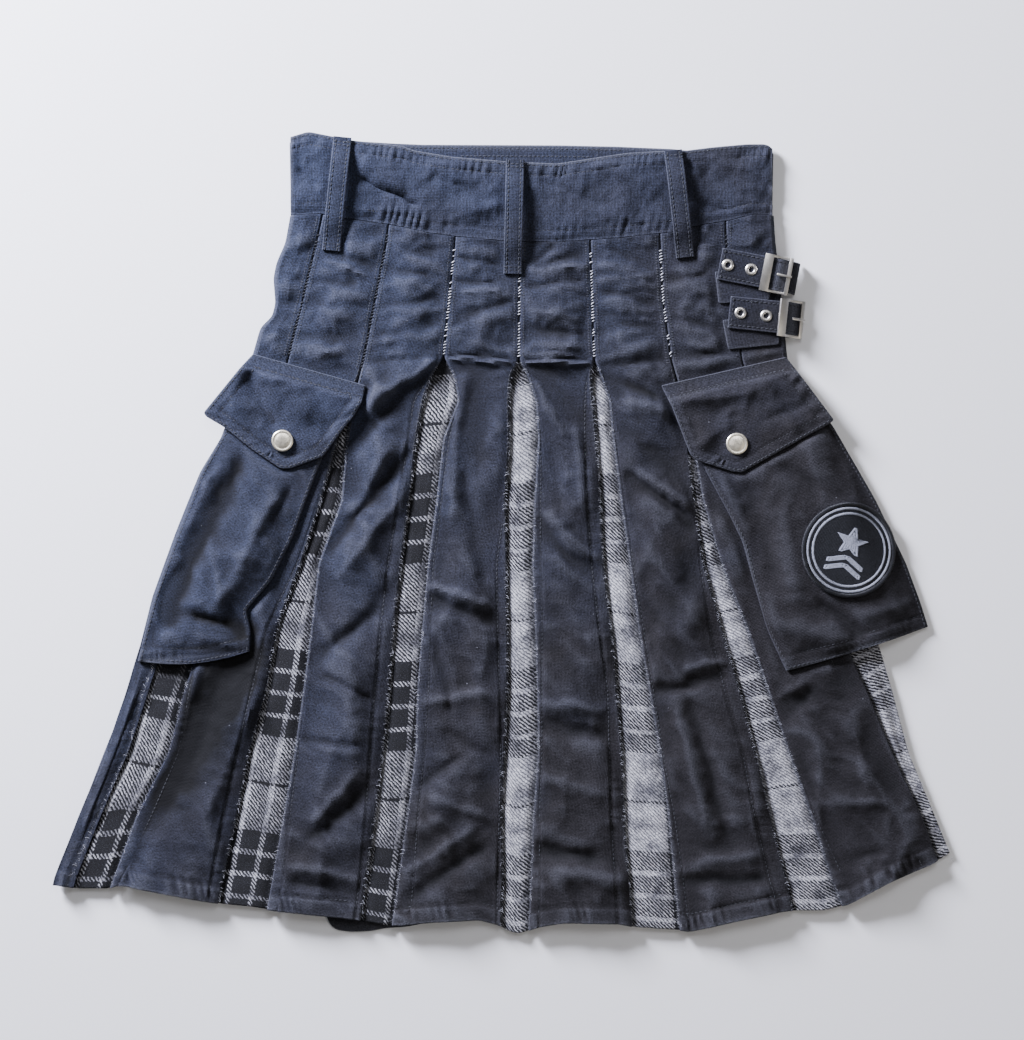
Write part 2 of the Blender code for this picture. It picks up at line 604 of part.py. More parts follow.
def make_pocket(name, rows, folds, sag):
    count = len(rows)
    sections = []
    widths = []
    for index, row in enumerate(rows):
        width = math.hypot(row.x_right - row.x_left, row.y_right - row.y_left)
        widths.append(width)
        slope = (row.y_right - row.y_left) / (row.x_right - row.x_left)
        edge_x = row.x_right
        for _ in range(8):
            edge_x = down(RIGHT_SIDE, row.y_left + slope * (edge_x - row.x_left), "x")
        edge_run = (edge_x + 1.5 - row.x_left) / (row.x_right - row.x_left) * width
        drop = CANVAS + GAP if index == count - 1 and folds is None else 0.0
        sections.append(pocket_section(row, width, folds[index] if folds else None, edge_run, drop))

    def place(index, across, z):
        row = rows[index]
        share = across / widths[index]
        hang = sag * ease(index / (count - 1)) * 4 * share * (1 - share)
        return (row.x_left + (row.x_right - row.x_left) * share,
                row.y_left + (row.y_right - row.y_left) * share - hang * (index == count - 1), z)

    return ribbon_body(name, sections, place, CANVAS, "black_canvas")


def chord(outline, start, run, down_way, away):
    """Where a line parallel to a flap's top, so far below it, crosses the outline."""
    crossings = []
    for before, after in zip(outline, outline[1:] + outline[:1]):
        first = (before.x - start.x) * down_way[0] + (before.y - start.y) * down_way[1] - away
        second = (after.x - start.x) * down_way[0] + (after.y - start.y) * down_way[1] - away
        if first * second <= 0 and first != second:
            share = first / (first - second)
            x = before.x + (after.x - before.x) * share
            y = before.y + (after.y - before.y) * share
            crossings.append((x - start.x) * run[0] + (y - start.y) * run[1])
    return min(crossings), max(crossings)


def make_flap(name, outline):
    """A flap sewn down along its top line, its first two points, that rises over the pocket."""
    start, end = outline[0], outline[1]
    length = math.hypot(end.x - start.x, end.y - start.y)
    run = ((end.x - start.x) / length, (end.y - start.y) / length)
    down_way = (run[1], -run[0])
    depths = [(point.x - start.x) * down_way[0] + (point.y - start.y) * down_way[1]
              for point in outline]
    corners = sorted(depth for depth in depths if depth > FLAP_RISEN_AT + 8)
    aways = [0.05, FLAP_SEWN_WIDTH, (FLAP_SEWN_WIDTH + FLAP_RISEN_AT) / 2, FLAP_RISEN_AT]
    aways += [FLAP_RISEN_AT + 14] + [depth - 0.05 for depth in corners if depth > FLAP_RISEN_AT + 20]
    low, high = SEAT + FLAP / 2, POCKET_TOP + GAP + FLAP / 2
    sections = []
    for away in aways:
        first, last = chord(outline, start, run, down_way, away)
        lift = ease((away - FLAP_SEWN_WIDTH) / (FLAP_RISEN_AT - FLAP_SEWN_WIDTH))
        z = low + (high - low) * lift
        sections.append([(first + (last - first) * step / 6, z) for step in range(7)])

    def place(index, across, z):
        away = aways[index]
        return (start.x + run[0] * across + down_way[0] * away,
                start.y + run[1] * across + down_way[1] * away, z)

    return ribbon_body(name, sections, place, FLAP, "black_canvas")


def make_disc(name, x, y, rings, finish, segments=24):
    """A closed turned piece from rings of (radius, z), bottom to top, with flat end caps."""
    vertices = []
    for radius, z in rings:
        for step in range(segments):
            angle = 2 * math.pi * step / segments
            vertices.append((x + radius * math.cos(angle), y + radius * math.sin(angle), z))
    faces = [tuple(range(segments))[::-1]]
    for ring in range(len(rings) - 1):
        for step in range(segments):
            after = (step + 1) % segments
            faces.append((ring * segments + step, ring * segments + after,
                          (ring + 1) * segments + after, (ring + 1) * segments + step))
    top = (len(rings) - 1) * segments
    faces.append(tuple(range(top, top + segments)))
    return add_object(name, vertices, faces, finish)


def make_snap(name, centre):
    base = POCKET_TOP + GAP + FLAP + GAP
    radius = SNAP_RADIUS
    rings = [(radius - 1.2, base), (radius, base + 0.6), (radius, base + 1.1),
             (radius - 1.0, base + SNAP_HEIGHT - 0.3), (radius * 0.5, base + SNAP_HEIGHT)]
    return make_disc(name, centre.x, centre.y, rings, "snap_cap")


def pocket_right_front(x, y):
    """The height of the right pocket's upper surface at one place."""
    index = 1
    rows = POCKET_RIGHT

    def row_y(row):
        return row.y_left + (row.y_right - row.y_left) * (x - row.x_left) / (row.x_right - row.x_left)

    while index < len(rows) - 1 and row_y(rows[index]) > y:
        index += 1
    above, below = rows[index - 1], rows[index]
    share = (row_y(above) - y) / (row_y(above) - row_y(below))
    outer_x = above.x_right + (below.x_right - above.x_right) * share
    folds = POCKET_RIGHT_FOLD
    high = folds[index - 1].front_z + (folds[index].front_z - folds[index - 1].front_z) * share
    edge_x = down(RIGHT_SIDE, y, "x") + 1.5
    fall = ease((x - edge_x) / max(outer_x - 2.0 - edge_x, 1.0))
    return POCKET_TOP + (high - POCKET_FRONT_Z) * fall


def make_badge():
    """A round badge that follows the pocket's front."""
    segments = 28
    radii = [BADGE_RADIUS, BADGE_RADIUS * 0.75, BADGE_RADIUS * 0.5, BADGE_RADIUS * 0.25]
    vertices = []
    for lift in (GAP + 0.35, GAP + 0.35 + BADGE):
        for radius in radii:
            for step in range(segments):
                angle = 2 * math.pi * step / segments
                x = BADGE_CENTRE.x + radius * math.cos(angle)
                y = BADGE_CENTRE.y + radius * math.sin(angle)
                vertices.append((x, y, pocket_right_front(x, y) + lift))
        centre = pocket_right_front(*BADGE_CENTRE)
        vertices.append((*BADGE_CENTRE, centre + lift))
    side = segments * len(radii) + 1
    faces = []
    for layer in (0, 1):
        base = layer * side
        for ring in range(len(radii) - 1):
            for step in range(segments):
                after = (step + 1) % segments
                face = [base + ring * segments + after, base + ring * segments + step,
                        base + (ring + 1) * segments + step, base + (ring + 1) * segments + after]
                faces.append(tuple(face if layer == 0 else face[::-1]))
        inner = base + (len(radii) - 1) * segments
        for step in range(segments):
            after = (step + 1) % segments
            face = [inner + after, inner + step, base + side - 1]
            faces.append(tuple(face if layer == 0 else face[::-1]))
    for step in range(segments):
        after = (step + 1) % segments
        faces.append((step, after, side + after, side + step))
    return add_object("patch", vertices, faces, "badge_twill")


def make_strap(name, path):
    """A strap on a straight route in plan, rising over the bar and falling round the side."""
    section = [(height.run, height.z) for height in path.heights]
    sides = [-STRAP_WIDTH / 2, -STRAP_WIDTH / 6, STRAP_WIDTH / 6, STRAP_WIDTH / 2]
    ux, uy = math.cos(math.radians(path.turn)), math.sin(math.radians(path.turn))

    def place(index, across, z):
        side = sides[index]
        return path.x + ux * across + uy * side, path.y + uy * across - ux * side, z

    return ribbon_body(name, [section] * len(sides), place, STRAP, "black_canvas")


def make_tab(name, outline):
    corners = [(point.x, point.y) for point in outline]
    return plate(name, corners, SEAT, SEAT + CANVAS, "black_canvas")


def box(low, high):
    """Vertices and faces of a block."""
    vertices = [(x, y, z) for z in (low[2], high[2]) for y in (low[1], high[1])
                for x in (low[0], high[0])]
    faces = [(0, 2, 3, 1), (4, 5, 7, 6), (0, 1, 5, 4), (2, 6, 7, 3), (0, 4, 6, 2), (1, 3, 7, 5)]
    return vertices, faces


def buckle_place(buckle, u, v, w):
    """A point of a buckle: u along the strap, v across it and w off it."""
    turn, tilt = math.radians(buckle.turn), math.radians(buckle.tilt)
    along_strap = u * math.cos(tilt) + w * math.sin(tilt)
    z = BUCKLE_Z - u * math.sin(tilt) + w * math.cos(tilt)
    x = buckle.x + along_strap * math.cos(turn) - v * math.sin(turn)
    y = buckle.y + along_strap * math.sin(turn) + v * math.cos(turn)
    return x, y, z


def make_buckle(buckle):
    """Two end bars over the strap, two rails beside it and a centre bar under it, in one."""
    half = STRAP_WIDTH / 2 + RAIL_CLEARANCE
    outer = half + RAIL_WIDTH
    thick = BUCKLE_BAR / 2
    post = BUCKLE_LENGTH / 2
    under = -CENTRE_BAR_DROP - CENTRE_BAR / 2
    over = -CENTRE_BAR_DROP + CENTRE_BAR / 2
    blocks = [
        ((-KEEPER_WIDTH / 2, -outer, -thick), (KEEPER_WIDTH / 2, outer, thick)),
        ((BUCKLE_LENGTH - 1.5, -outer, -thick), (BUCKLE_LENGTH + 1.5, outer, thick)),
        ((0, half, -thick * 0.9), (BUCKLE_LENGTH, outer - 0.05, thick * 0.9)),
        ((0, -outer + 0.05, -thick * 0.9), (BUCKLE_LENGTH, -half, thick * 0.9)),
        ((post - 1.2, half + 0.1, under), (post + 1.2, outer - 0.1, 0.2)),
        ((post - 1.2, -outer + 0.1, under), (post + 1.2, -half - 0.1, 0.2)),
        ((post - 1.0, -outer + 0.3, under + 0.05), (post + 1.0, outer - 0.3, over)),
    ]
    name = f"buckle_{buckle.name}"
    base = None
    for number, (low, high) in enumerate(blocks):
        vertices, faces = box(low, high)
        placed = [buckle_place(buckle, *vertex) for vertex in vertices]
        if base is None:
            base = add_object(name, placed, faces, "nickel_plate")
            continue
        piece = add_object(f"{name}_bar_{number}", placed, faces, "nickel_plate")
        piece.hide_render = True
        piece.display_type = "WIRE"
        union = base.modifiers.new(f"join_{number}", "BOOLEAN")
        union.operation = "UNION"
        union.solver = "EXACT"
        union.object = piece
    return base


def make_prong(buckle):
    """The tongue, from the strap's hole to the far bar."""
    low = BUCKLE_BAR / 2 + GAP
    start, end = BUCKLE_LENGTH / 2 - 1.0, BUCKLE_LENGTH + 2.2
    vertices, faces = box((start, -1.1, low), (end, 1.1, low + 1.5))
    placed = []
    for u, v, w in vertices:
        narrow = 0.7 if u == end else 1.0
        placed.append(buckle_place(buckle, u, v * narrow, w))
    return add_object(f"prong_{buckle.name}", placed, faces, "nickel_plate")


def make_eyelet(eyelet):
    """A flat ring with its hole open."""
    segments = 14
    base = eyelet.z + GAP
    rings = [(EYELET_HOLE, base), (EYELET_RADIUS, base), (EYELET_RADIUS - 0.5, base + EYELET_HEIGHT),
             (EYELET_HOLE + 0.5, base + EYELET_HEIGHT)]
    vertices = []
    for radius, z in rings:
        for step in range(segments):
            angle = 2 * math.pi * step / segments
            vertices.append((eyelet.x + radius * math.cos(angle),
                             eyelet.y + radius * math.sin(angle), z))
    faces = []
    count = len(rings)
    for ring in range(count):
        other = (ring + 1) % count
        for step in range(segments):
            after = (step + 1) % segments
            faces.append((ring * segments + step, ring * segments + after,
                          other * segments + after, other * segments + step)[::-1])
    return add_object(eyelet.name, vertices, faces, "nickel_plate")


def main():
    for obj in list(bpy.data.objects):
        bpy.data.objects.remove(obj)
    make_apron()
    for number in PLEATS:
        make_insert(number)
    for number in range(len(PLEATS) + 1):
        make_panel(number)
    make_waistband()
    for loop in BELT_LOOPS:
        make_belt_loop(loop)
    make_pocket("pocket_left", POCKET_LEFT, None, POCKET_LEFT_SAG)
    make_pocket("pocket_right", POCKET_RIGHT, POCKET_RIGHT_FOLD, POCKET_RIGHT_SAG)
    make_flap("flap_left", FLAP_LEFT)
    make_flap("flap_right", FLAP_RIGHT)
    make_snap("snap_left", SNAP_LEFT)
    make_snap("snap_right", SNAP_RIGHT)
    make_badge()
    make_tab("strap_tab_upper", TAB_UPPER)
    make_tab("strap_tab_lower", TAB_LOWER)
    make_strap("strap_upper", STRAP_UPPER)
    make_strap("strap_lower", STRAP_LOWER)
    for buckle in BUCKLES:
        make_buckle(buckle)
        make_prong(buckle)
    for eyelet in EYELETS:
        make_eyelet(eyelet)


main()
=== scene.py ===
"""The looks of a utility kilt that lies flat with its pleated side up.

Every cloth piece is made here as a fine shell in the place of its plain solid, with its folds,
stitching, weave and plaid. Sizes and places are in millimetres in the row's frame, +X to the right,
+Y to the waist and +Z up off the surface, and the meshes are made in metres.
"""

import math
from collections import namedtuple

import bpy
import numpy as np
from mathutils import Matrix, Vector
from mathutils.geometry import delaunay_2d_cdt


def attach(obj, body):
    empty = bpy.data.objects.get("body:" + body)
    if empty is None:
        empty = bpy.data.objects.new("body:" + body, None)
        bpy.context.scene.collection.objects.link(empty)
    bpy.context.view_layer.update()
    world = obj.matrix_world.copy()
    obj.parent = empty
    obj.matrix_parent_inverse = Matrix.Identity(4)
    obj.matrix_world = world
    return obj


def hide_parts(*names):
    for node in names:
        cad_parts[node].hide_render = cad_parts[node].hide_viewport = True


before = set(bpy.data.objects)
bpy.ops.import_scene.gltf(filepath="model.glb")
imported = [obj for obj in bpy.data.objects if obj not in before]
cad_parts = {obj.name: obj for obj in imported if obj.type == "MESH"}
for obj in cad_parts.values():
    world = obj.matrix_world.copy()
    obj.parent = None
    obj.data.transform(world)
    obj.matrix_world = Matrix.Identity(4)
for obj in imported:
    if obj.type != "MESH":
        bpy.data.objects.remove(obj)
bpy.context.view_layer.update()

MM = 0.001
BODY = "root"

# Cloth thicknesses, and the heights of the middle of each layer, as in the solids
CANVAS = 1.4
WOOL = 1.6
APRON = 1.6
BAND = 2.6
APRON_BAND = 2.4
FLAP = 2.2
STRAP = 1.8
GAP = 0.3
WOOL_Z = APRON + GAP + WOOL / 2
ALLOWANCE_Z = APRON + GAP + WOOL + GAP + CANVAS / 2
FACE_Z = ALLOWANCE_Z + CANVAS + GAP
SKIRT_TOP = FACE_Z + CANVAS / 2
SEAT = SKIRT_TOP + GAP
POCKET_BACK_Z = SEAT + CANVAS / 2
POCKET_FRONT_Z = POCKET_BACK_Z + CANVAS + GAP
POCKET_TOP = POCKET_FRONT_Z + CANVAS / 2
BAND_LOW_Z = 4.0
FLAP_LOW_Z = SEAT + FLAP / 2
FLAP_HIGH_Z = POCKET_TOP + GAP + FLAP / 2

# How far a turned edge reaches in, and how far the wool passes under it
ALLOWANCE = 4.5
WOOL_MARGIN = 4.0
SEAM_GAP = 0.4

# The photo's frame: its middle in the row's frame, and its long side
VIEW_CENTRE = (7.0, 9.8)
VIEW_LONG_SIDE = 825.8
CAMERA_HEIGHT = 2600.0
SENSOR = 36.0

# How deep the folds below are made, as a multiple of their heights
FOLD_DEPTH = 2.5
# How far the middle of a panel swells up, so that its hollows stay clear of the wool
PANEL_SWELL = 2.4
POCKET_SWELL = 2.9

Fold = namedtuple("Fold", "x0 y0 x1 y1 width height bow", defaults=[0.0])
Pleat = namedtuple("Pleat", "y left right return_left return_right")
PocketRow = namedtuple("PocketRow", "x_left y_left x_right y_right")

# The line where the waistband meets the panels, as (x, y)
WAIST_SEAM = [
    (-169, 252), (-144, 253), (-126, 249.5), (-87, 244), (-61, 238), (-33, 234.5), (0, 231.5),
    (43, 230.5), (93, 234), (134, 238.5), (151, 243), (181, 248), (198, 252.5), (214, 252),
]
# The hem of the pleated side, as (x, y)
HEM = [
    (-372, -280), (-355, -280.5), (-338, -283), (-314, -283), (-306, -281), (-300, -281),
    (-271, -287), (-230, -294.5), (-198, -297.5), (-183, -300.5), (-114, -308), (-91, -312.5),
    (-74, -311.5), (-55, -309.5), (-19, -308), (-4, -312), (4, -316.5), (12, -319), (20, -316.5),
    (29, -313.5), (49, -310), (93, -311), (102, -313.5), (125, -315), (139, -316),
    (148, -317.5), (182, -309.5), (221, -301.5), (231, -300.5), (255, -300.5), (275, -295.5),
    (281, -292), (305, -278.5), (340, -264), (355, -255),
]
# The upper edges of the waistband and of the apron's band, as (x, y)
BAND_TOP = [
    (-170, 314), (-155, 318.5), (-135, 314.5), (-120, 311.5), (-80, 307), (-71, 303.5),
    (-41, 298.5), (1, 295), (43, 293), (75, 298), (98, 301.5), (126, 303), (142, 303),
    (166, 306), (194, 308.5), (210, 308.5), (215, 304),
]
APRON_BAND_TOP = [
    (-170, 311), (-120, 311.5), (-87, 309.5), (-64, 308.5), (45, 308), (90, 307), (136, 305),
    (144, 304), (166, 303.5), (215, 302),
]
APRON_HEM = [
    (-355, -277), (-300, -278), (-230, -291), (-142, -302), (-138, -312), (-133, -316.5),
    (-121, -318), (-105, -317.3), (-94, -315), (-77, -314), (-64, -311.5), (-54, -306),
    (0, -306), (100, -309), (147, -313), (181, -306), (230, -297), (275, -292), (305, -275),
    (340, -261), (354, -252),
]
# The sides of the kilt, as (y, x)
LEFT_SIDE = [
    (314, -166), (252, -169.3), (230, -173.3), (214, -180.4), (202, -182.8), (182, -181.2),
    (171, -184), (163, -193), (142, -199), (105, -213.7), (75, -224.5), (48, -241), (25, -250.5),
    (0, -260.5), (-51, -279), (-101, -291.5), (-125, -297.1), (-175, -317.4), (-225, -336.8),
    (-275, -354.5), (-320, -357),
]
RIGHT_SIDE = [
    (304, 215), (252, 215), (230, 216.6), (214, 218.2), (185, 221.4), (137, 226.1), (125, 230.1),
    (105, 236.4), (75, 246), (25, 261.9), (-25, 277.7), (-75, 293.6), (-94, 300), (-125, 309.1),
    (-175, 322.2), (-225, 343), (-255, 355.2), (-320, 380),
]
# Each pleat from the waist down: the edges of its wool, which meet in the yoke seam, and the width
# of the stitched band beside it on each panel
PLEATS = {
    1: [
        Pleat(252, -143.5, -143.5, 0, 0), Pleat(230, -148.2, -148.2, 0, 0),
        Pleat(137, -170.9, -170.9, 0, 0), Pleat(105, -179.6, -178, 0, 0),
        Pleat(75, -194.7, -189.9, 0, 0), Pleat(25, -218.5, -208.2, 0, 0),
        Pleat(-25, -242.3, -223.3, 0, 0), Pleat(-75, -266.2, -236.8, 0, 0),
        Pleat(-125, -285.6, -253.1, 2, 4), Pleat(-175, -298.3, -266.1, 9, 8),
        Pleat(-225, -321.7, -291.5, 5, 12), Pleat(-275, -344, -309.8, 0, 6),
        Pleat(-320, -361, -326.5, 0, 5),
    ],
    2: [
        Pleat(252, -90, -90, 0, 0), Pleat(230, -92.7, -92.7, 0, 0),
        Pleat(137, -110.9, -110.9, 0, 0), Pleat(125, -114.1, -114.1, 0, 0),
        Pleat(105, -122.4, -119.3, 0, 0), Pleat(75, -131.2, -124.8, 0, 0),
        Pleat(25, -144.7, -128.8, 2, 0), Pleat(-25, -160.5, -147.1, 3, 0),
        Pleat(-75, -179.2, -152.6, 8, 0), Pleat(-125, -188.3, -159, 11, 2),
        Pleat(-175, -201.8, -166.1, 9.5, 3), Pleat(-225, -211.4, -174.8, 11, 5.5),
        Pleat(-275, -222.5, -183.6, 8.7, 8), Pleat(-320, -230.4, -191.5, 8, 8),
    ],
    3: [
        Pleat(252, -37, -37, 0, 0), Pleat(230, -38.3, -38.3, 0, 0), Pleat(139, -47.2, -47.2, 0, 0),
        Pleat(125, -56.5, -39.5, 0, 0), Pleat(105, -62.9, -35.9, 8, 0),
        Pleat(75, -68.4, -47.8, 6.4, 5), Pleat(25, -74.8, -53.4, 8, 4),
        Pleat(-25, -80.8, -60.1, 10.5, 4.5), Pleat(-75, -86.7, -64.5, 10.3, 6.4),
        Pleat(-125, -90.7, -68.4, 11, 9), Pleat(-175, -95.4, -70, 10.3, 7),
        Pleat(-225, -101.4, -76.4, 7.5, 8.7), Pleat(-275, -108.5, -83.5, 5, 12),
        Pleat(-320, -114.5, -89.9, 5, 15),
    ],
    4: [
        Pleat(252, 13.4, 13.4, 0, 0), Pleat(230, 13.3, 13.3, 0, 0), Pleat(137, 12.5, 12.5, 0, 0),
        Pleat(125, 6.6, 18.9, 0, 0), Pleat(105, 5, 25.6, 0, 0), Pleat(75, 5.4, 27.6, 0, 2.4),
        Pleat(25, 2.2, 24.5, 0, 5), Pleat(-25, 3, 22.9, 8, 6.4), Pleat(-75, 3.8, 25.2, 8, 5.6),
        Pleat(-125, 3.8, 26.8, 6.4, 4), Pleat(-175, 1, 27.6, 2.5, 3),
        Pleat(-225, -1, 23.7, 1.6, 5), Pleat(-275, -0.2, 21.7, 4, 7),
        Pleat(-320, -1.7, 19.7, 3, 8),
    ],
    5: [
        Pleat(252, 69, 69, 0, 0), Pleat(230, 69.3, 69.3, 0, 0), Pleat(137, 72.5, 72.5, 0, 0),
        Pleat(125, 70.1, 76.9, 3, 0), Pleat(105, 71.7, 84, 6.4, 0),
        Pleat(75, 74.5, 86.8, 9.5, 2.4), Pleat(25, 77.3, 93.1, 10.7, 3),
        Pleat(-25, 80, 100.3, 9.5, 3), Pleat(-75, 85.6, 107, 9.5, 4),
        Pleat(-125, 90.4, 115.8, 7, 3.2), Pleat(-175, 94.7, 124.1, 10.3, 2.4),
        Pleat(-225, 96.3, 130.9, 10.5, 5), Pleat(-275, 99.9, 135.6, 11, 7),
        Pleat(-320, 103.1, 140.4, 12, 8),
    ],
    6: [
        Pleat(252, 124, 124, 0, 0), Pleat(230, 124.7, 124.7, 0, 0), Pleat(185, 127.1, 127.1, 0, 0),
        Pleat(137, 133.6, 133.6, 0, 0), Pleat(105, 141.6, 142.8, 0, 0),
        Pleat(75, 146.3, 149.5, 0, 0), Pleat(25, 151.5, 158.6, 0, 1.6),
        Pleat(-25, 159.4, 173.3, 2.4, 1.6), Pleat(-75, 173.7, 192.8, 10, 2.4),
        Pleat(-125, 188, 209.9, 12, 2.4), Pleat(-175, 200.7, 226.9, 10.3, 2),
        Pleat(-225, 212.2, 244.4, 12.5, 3), Pleat(-275, 224.9, 260.3, 13.5, 10),
        Pleat(-320, 234.9, 277.7, 10, 10),
    ],
    7: [
        Pleat(252, 176.5, 176.5, 0, 0), Pleat(230, 177.3, 177.3, 0, 0),
        Pleat(137, 189.6, 189.6, 0, 0), Pleat(105, 198.3, 199.1, 0, 0),
        Pleat(75, 207.1, 210.2, 0, 0), Pleat(25, 222.9, 234.1, 0, 0),
        Pleat(-25, 242.8, 265.8, 8, 0), Pleat(-75, 265.8, 280, 16, 0),
        Pleat(-125, 288.9, 295, 18, 0), Pleat(-175, 309.5, 312, 17.5, 0),
        Pleat(-225, 332.5, 335, 17.5, 0), Pleat(-275, 351, 353, 14, 0),
        Pleat(-320, 368, 370, 14, 0),
    ],
}
LAST_PANEL_END = -30
WOOL_SIDE_FROM = -46

# The pockets' rows from the mouth down, and the heights of the right one's outer fold, as
# (distance down the outer side, front, back)
POCKET_LEFT = [
    PocketRow(-211, 103, -132, 88), PocketRow(-222.5, 78, -144.7, 56),
    PocketRow(-239.5, 48, -157.4, 22), PocketRow(-248, 25, -167, -4.4),
    PocketRow(-258.5, -0.5, -183.6, -37.8), PocketRow(-277, -51.3, -204, -62),
    PocketRow(-284, -78, -200, -78), PocketRow(-290, -102, -201, -94.2),
]
POCKET_RIGHT = [
    PocketRow(142, 99, 236, 118), PocketRow(160, 50, 262, 84.5), PocketRow(180, 13, 296, 26),
    PocketRow(190, -8, 309, -1), PocketRow(198, -38, 320.6, -25),
    PocketRow(209.5, -77.5, 332, -56), PocketRow(224.5, -110, 338, -75),
]
OUTER_FOLD = [(8.4, 6.2), (6.6, 4.0), (4.6, 1.6), (3.8, 0.7), (3.4, 0.7), (3.2, 0.7), (3.0, 0.7)]
POCKET_SAG = {"left": 6.0, "right": 1.5}
BELLOWS = 8.0
FLAP_LEFT = [
    (-198.6, 141.7), (-108.9, 116.6), (-112.1, 102.7), (-118.5, 91.6), (-128, 80.1),
    (-142.7, 59.9), (-168.9, 50.3), (-176.4, 50.3), (-198.7, 65.4), (-221.7, 83.7),
    (-235.2, 91.6), (-237.6, 94.8), (-206.6, 132.9),
]
FLAP_RIGHT = [
    (125.3, 116.6), (224.5, 139.3), (262.2, 89.2), (258.7, 86.1), (221.4, 65.4), (189.2, 47.2),
    (181.7, 48), (153.9, 56.7), (148.3, 61.5), (134, 98.8),
]
FLAP_SEWN_WIDTH = 5.0
FLAP_RISEN_AT = 16.0
SNAPS = {"left": (-174.8, 72.6), "right": (185.2, 70.2)}
SNAP_RADIUS = 8.7
SNAP_HEIGHT = 2.2
BADGE_CENTRE = (274, -14)
BADGE_RADIUS = 38.0
BADGE = 1.3

# Belt loops as (foot x, foot y, top x, top y), and the height of the middle along one
BELT_LOOPS = {
    "belt_loop_left": (-136.7, 223.5, -127.5, 314),
    "belt_loop_centre": (7.4, 205, 9.4, 296.5),
    "belt_loop_right": (144.4, 218, 134.8, 303.5),
}
LOOP_WIDTH = 14.3
LOOP_CLOTH = 1.8
LOOP_ARCH = 4.7

# Straps as (start x, start y, turn) with the height of the middle along the run
STRAP_WIDTH = 25.4
STRAPS = {
    "strap_upper": (171.8, 213.2, -11, [
        (0, 9.8), (20, 9.8), (31, 10.5), (38, 10.8), (42, 11.1), (47, 12.0), (51, 10.8),
        (54, 9.1), (57.5, 8.9), (60.5, 7.2), (62.6, 4.6), (63.0, 1.3),
    ]),
    "strap_lower": (179.3, 174.8, -6, [
        (0, 9.8), (25, 9.8), (34, 10.4), (40.2, 10.8), (45.2, 9.9), (49.5, 8.1), (53, 5.5),
        (56, 2.9), (58.0, 1.6),
    ]),
}
TABS = {
    "strap_tab_upper": [(168, 207), (171, 181.5), (211, 184), (215.5, 207)],
    "strap_tab_lower": [(174, 168.5), (178.5, 145), (219, 149), (219.5, 172)],
}
EYELETS = {
    "eyelet_upper_1": (178.2, 212.0, 10.7), "eyelet_upper_2": (196.6, 208.4, 11.1),
    "eyelet_lower_1": (188.2, 173.9, 10.7), "eyelet_lower_2": (208.6, 171.7, 11.1),
}
EYELET_RADIUS = 4.8
EYELET_HOLE = 2.0
EYELET_HEIGHT = 0.9

# The panels' folds, each given as a line, a half width, a height and a bow to one side
YOKE_FOLDS = [
    Fold(-140, 215, -112, 205, 3, 0.7), Fold(-84, 222, -60, 214, 3, 0.7),
    Fold(-30, 190, -6, 192, 3, 0.8), Fold(22, 196, 60, 200, 3.4, -0.7),
    Fold(24, 176, 58, 170, 3.4, 0.7), Fold(20, 160, 62, 158, 3.2, -0.7),
    Fold(80, 200, 120, 206, 3.4, 0.7), Fold(82, 174, 122, 172, 3.2, -0.6),
    Fold(-66, 227, -46, 227, 3, -0.7), Fold(-34, 219, -3, 212, 2.6, -0.8),
    Fold(-37, 200, -8, 199, 2.6, -0.9, 1), Fold(17, 212, 38, 225, 3, -1.0),
    Fold(40, 215, 64, 222, 3.6, -0.8), Fold(-32, 171, 5, 182, 4.2, -0.9),
    Fold(-41, 165, -28, 167, 2.2, -0.7), Fold(50, 211, 86, 212, 4, 0.8),
    Fold(23, 144, 61, 143, 3, -0.6), Fold(-160, 199, -120, 196, 4.5, -0.8),
    Fold(-165, 183, -112, 180, 5, -0.7), Fold(-172, 158, -118, 153, 5, -0.8),
    Fold(-104, 212, -62, 205, 5, -0.7), Fold(-100, 178, -56, 186, 5, -0.7),
    Fold(-96, 158, -60, 160, 4, -0.6), Fold(84, 190, 118, 183, 4, -0.7),
    Fold(78, 160, 124, 164, 5, -0.7), Fold(134, 200, 162, 206, 4, -0.7),
    Fold(138, 170, 176, 160, 5, -0.8), Fold(90, 222, 118, 214, 4, -0.6),
    Fold(-150, 226, -112, 216, 4, -0.7), Fold(140, 222, 170, 226, 4, -0.6),
]
CREASE_FOLDS = [
    Fold(-43, 141.5, 5, 138.2, 1.5, -1.3), Fold(-42, 137.6, 2, 135.4, 2.4, 1.0),
    Fold(18, 137, 66, 137.6, 1.5, -0.6), Fold(19, 133.6, 66, 134.6, 1.9, 1.2),
    Fold(-37, 130.5, -6, 130.5, 5, -1.5), Fold(20, 128, 52, 122, 5, -1.3),
    Fold(80, 133, 128, 136, 2.5, -0.6), Fold(-104, 136, -54, 139, 3, -0.6),
]
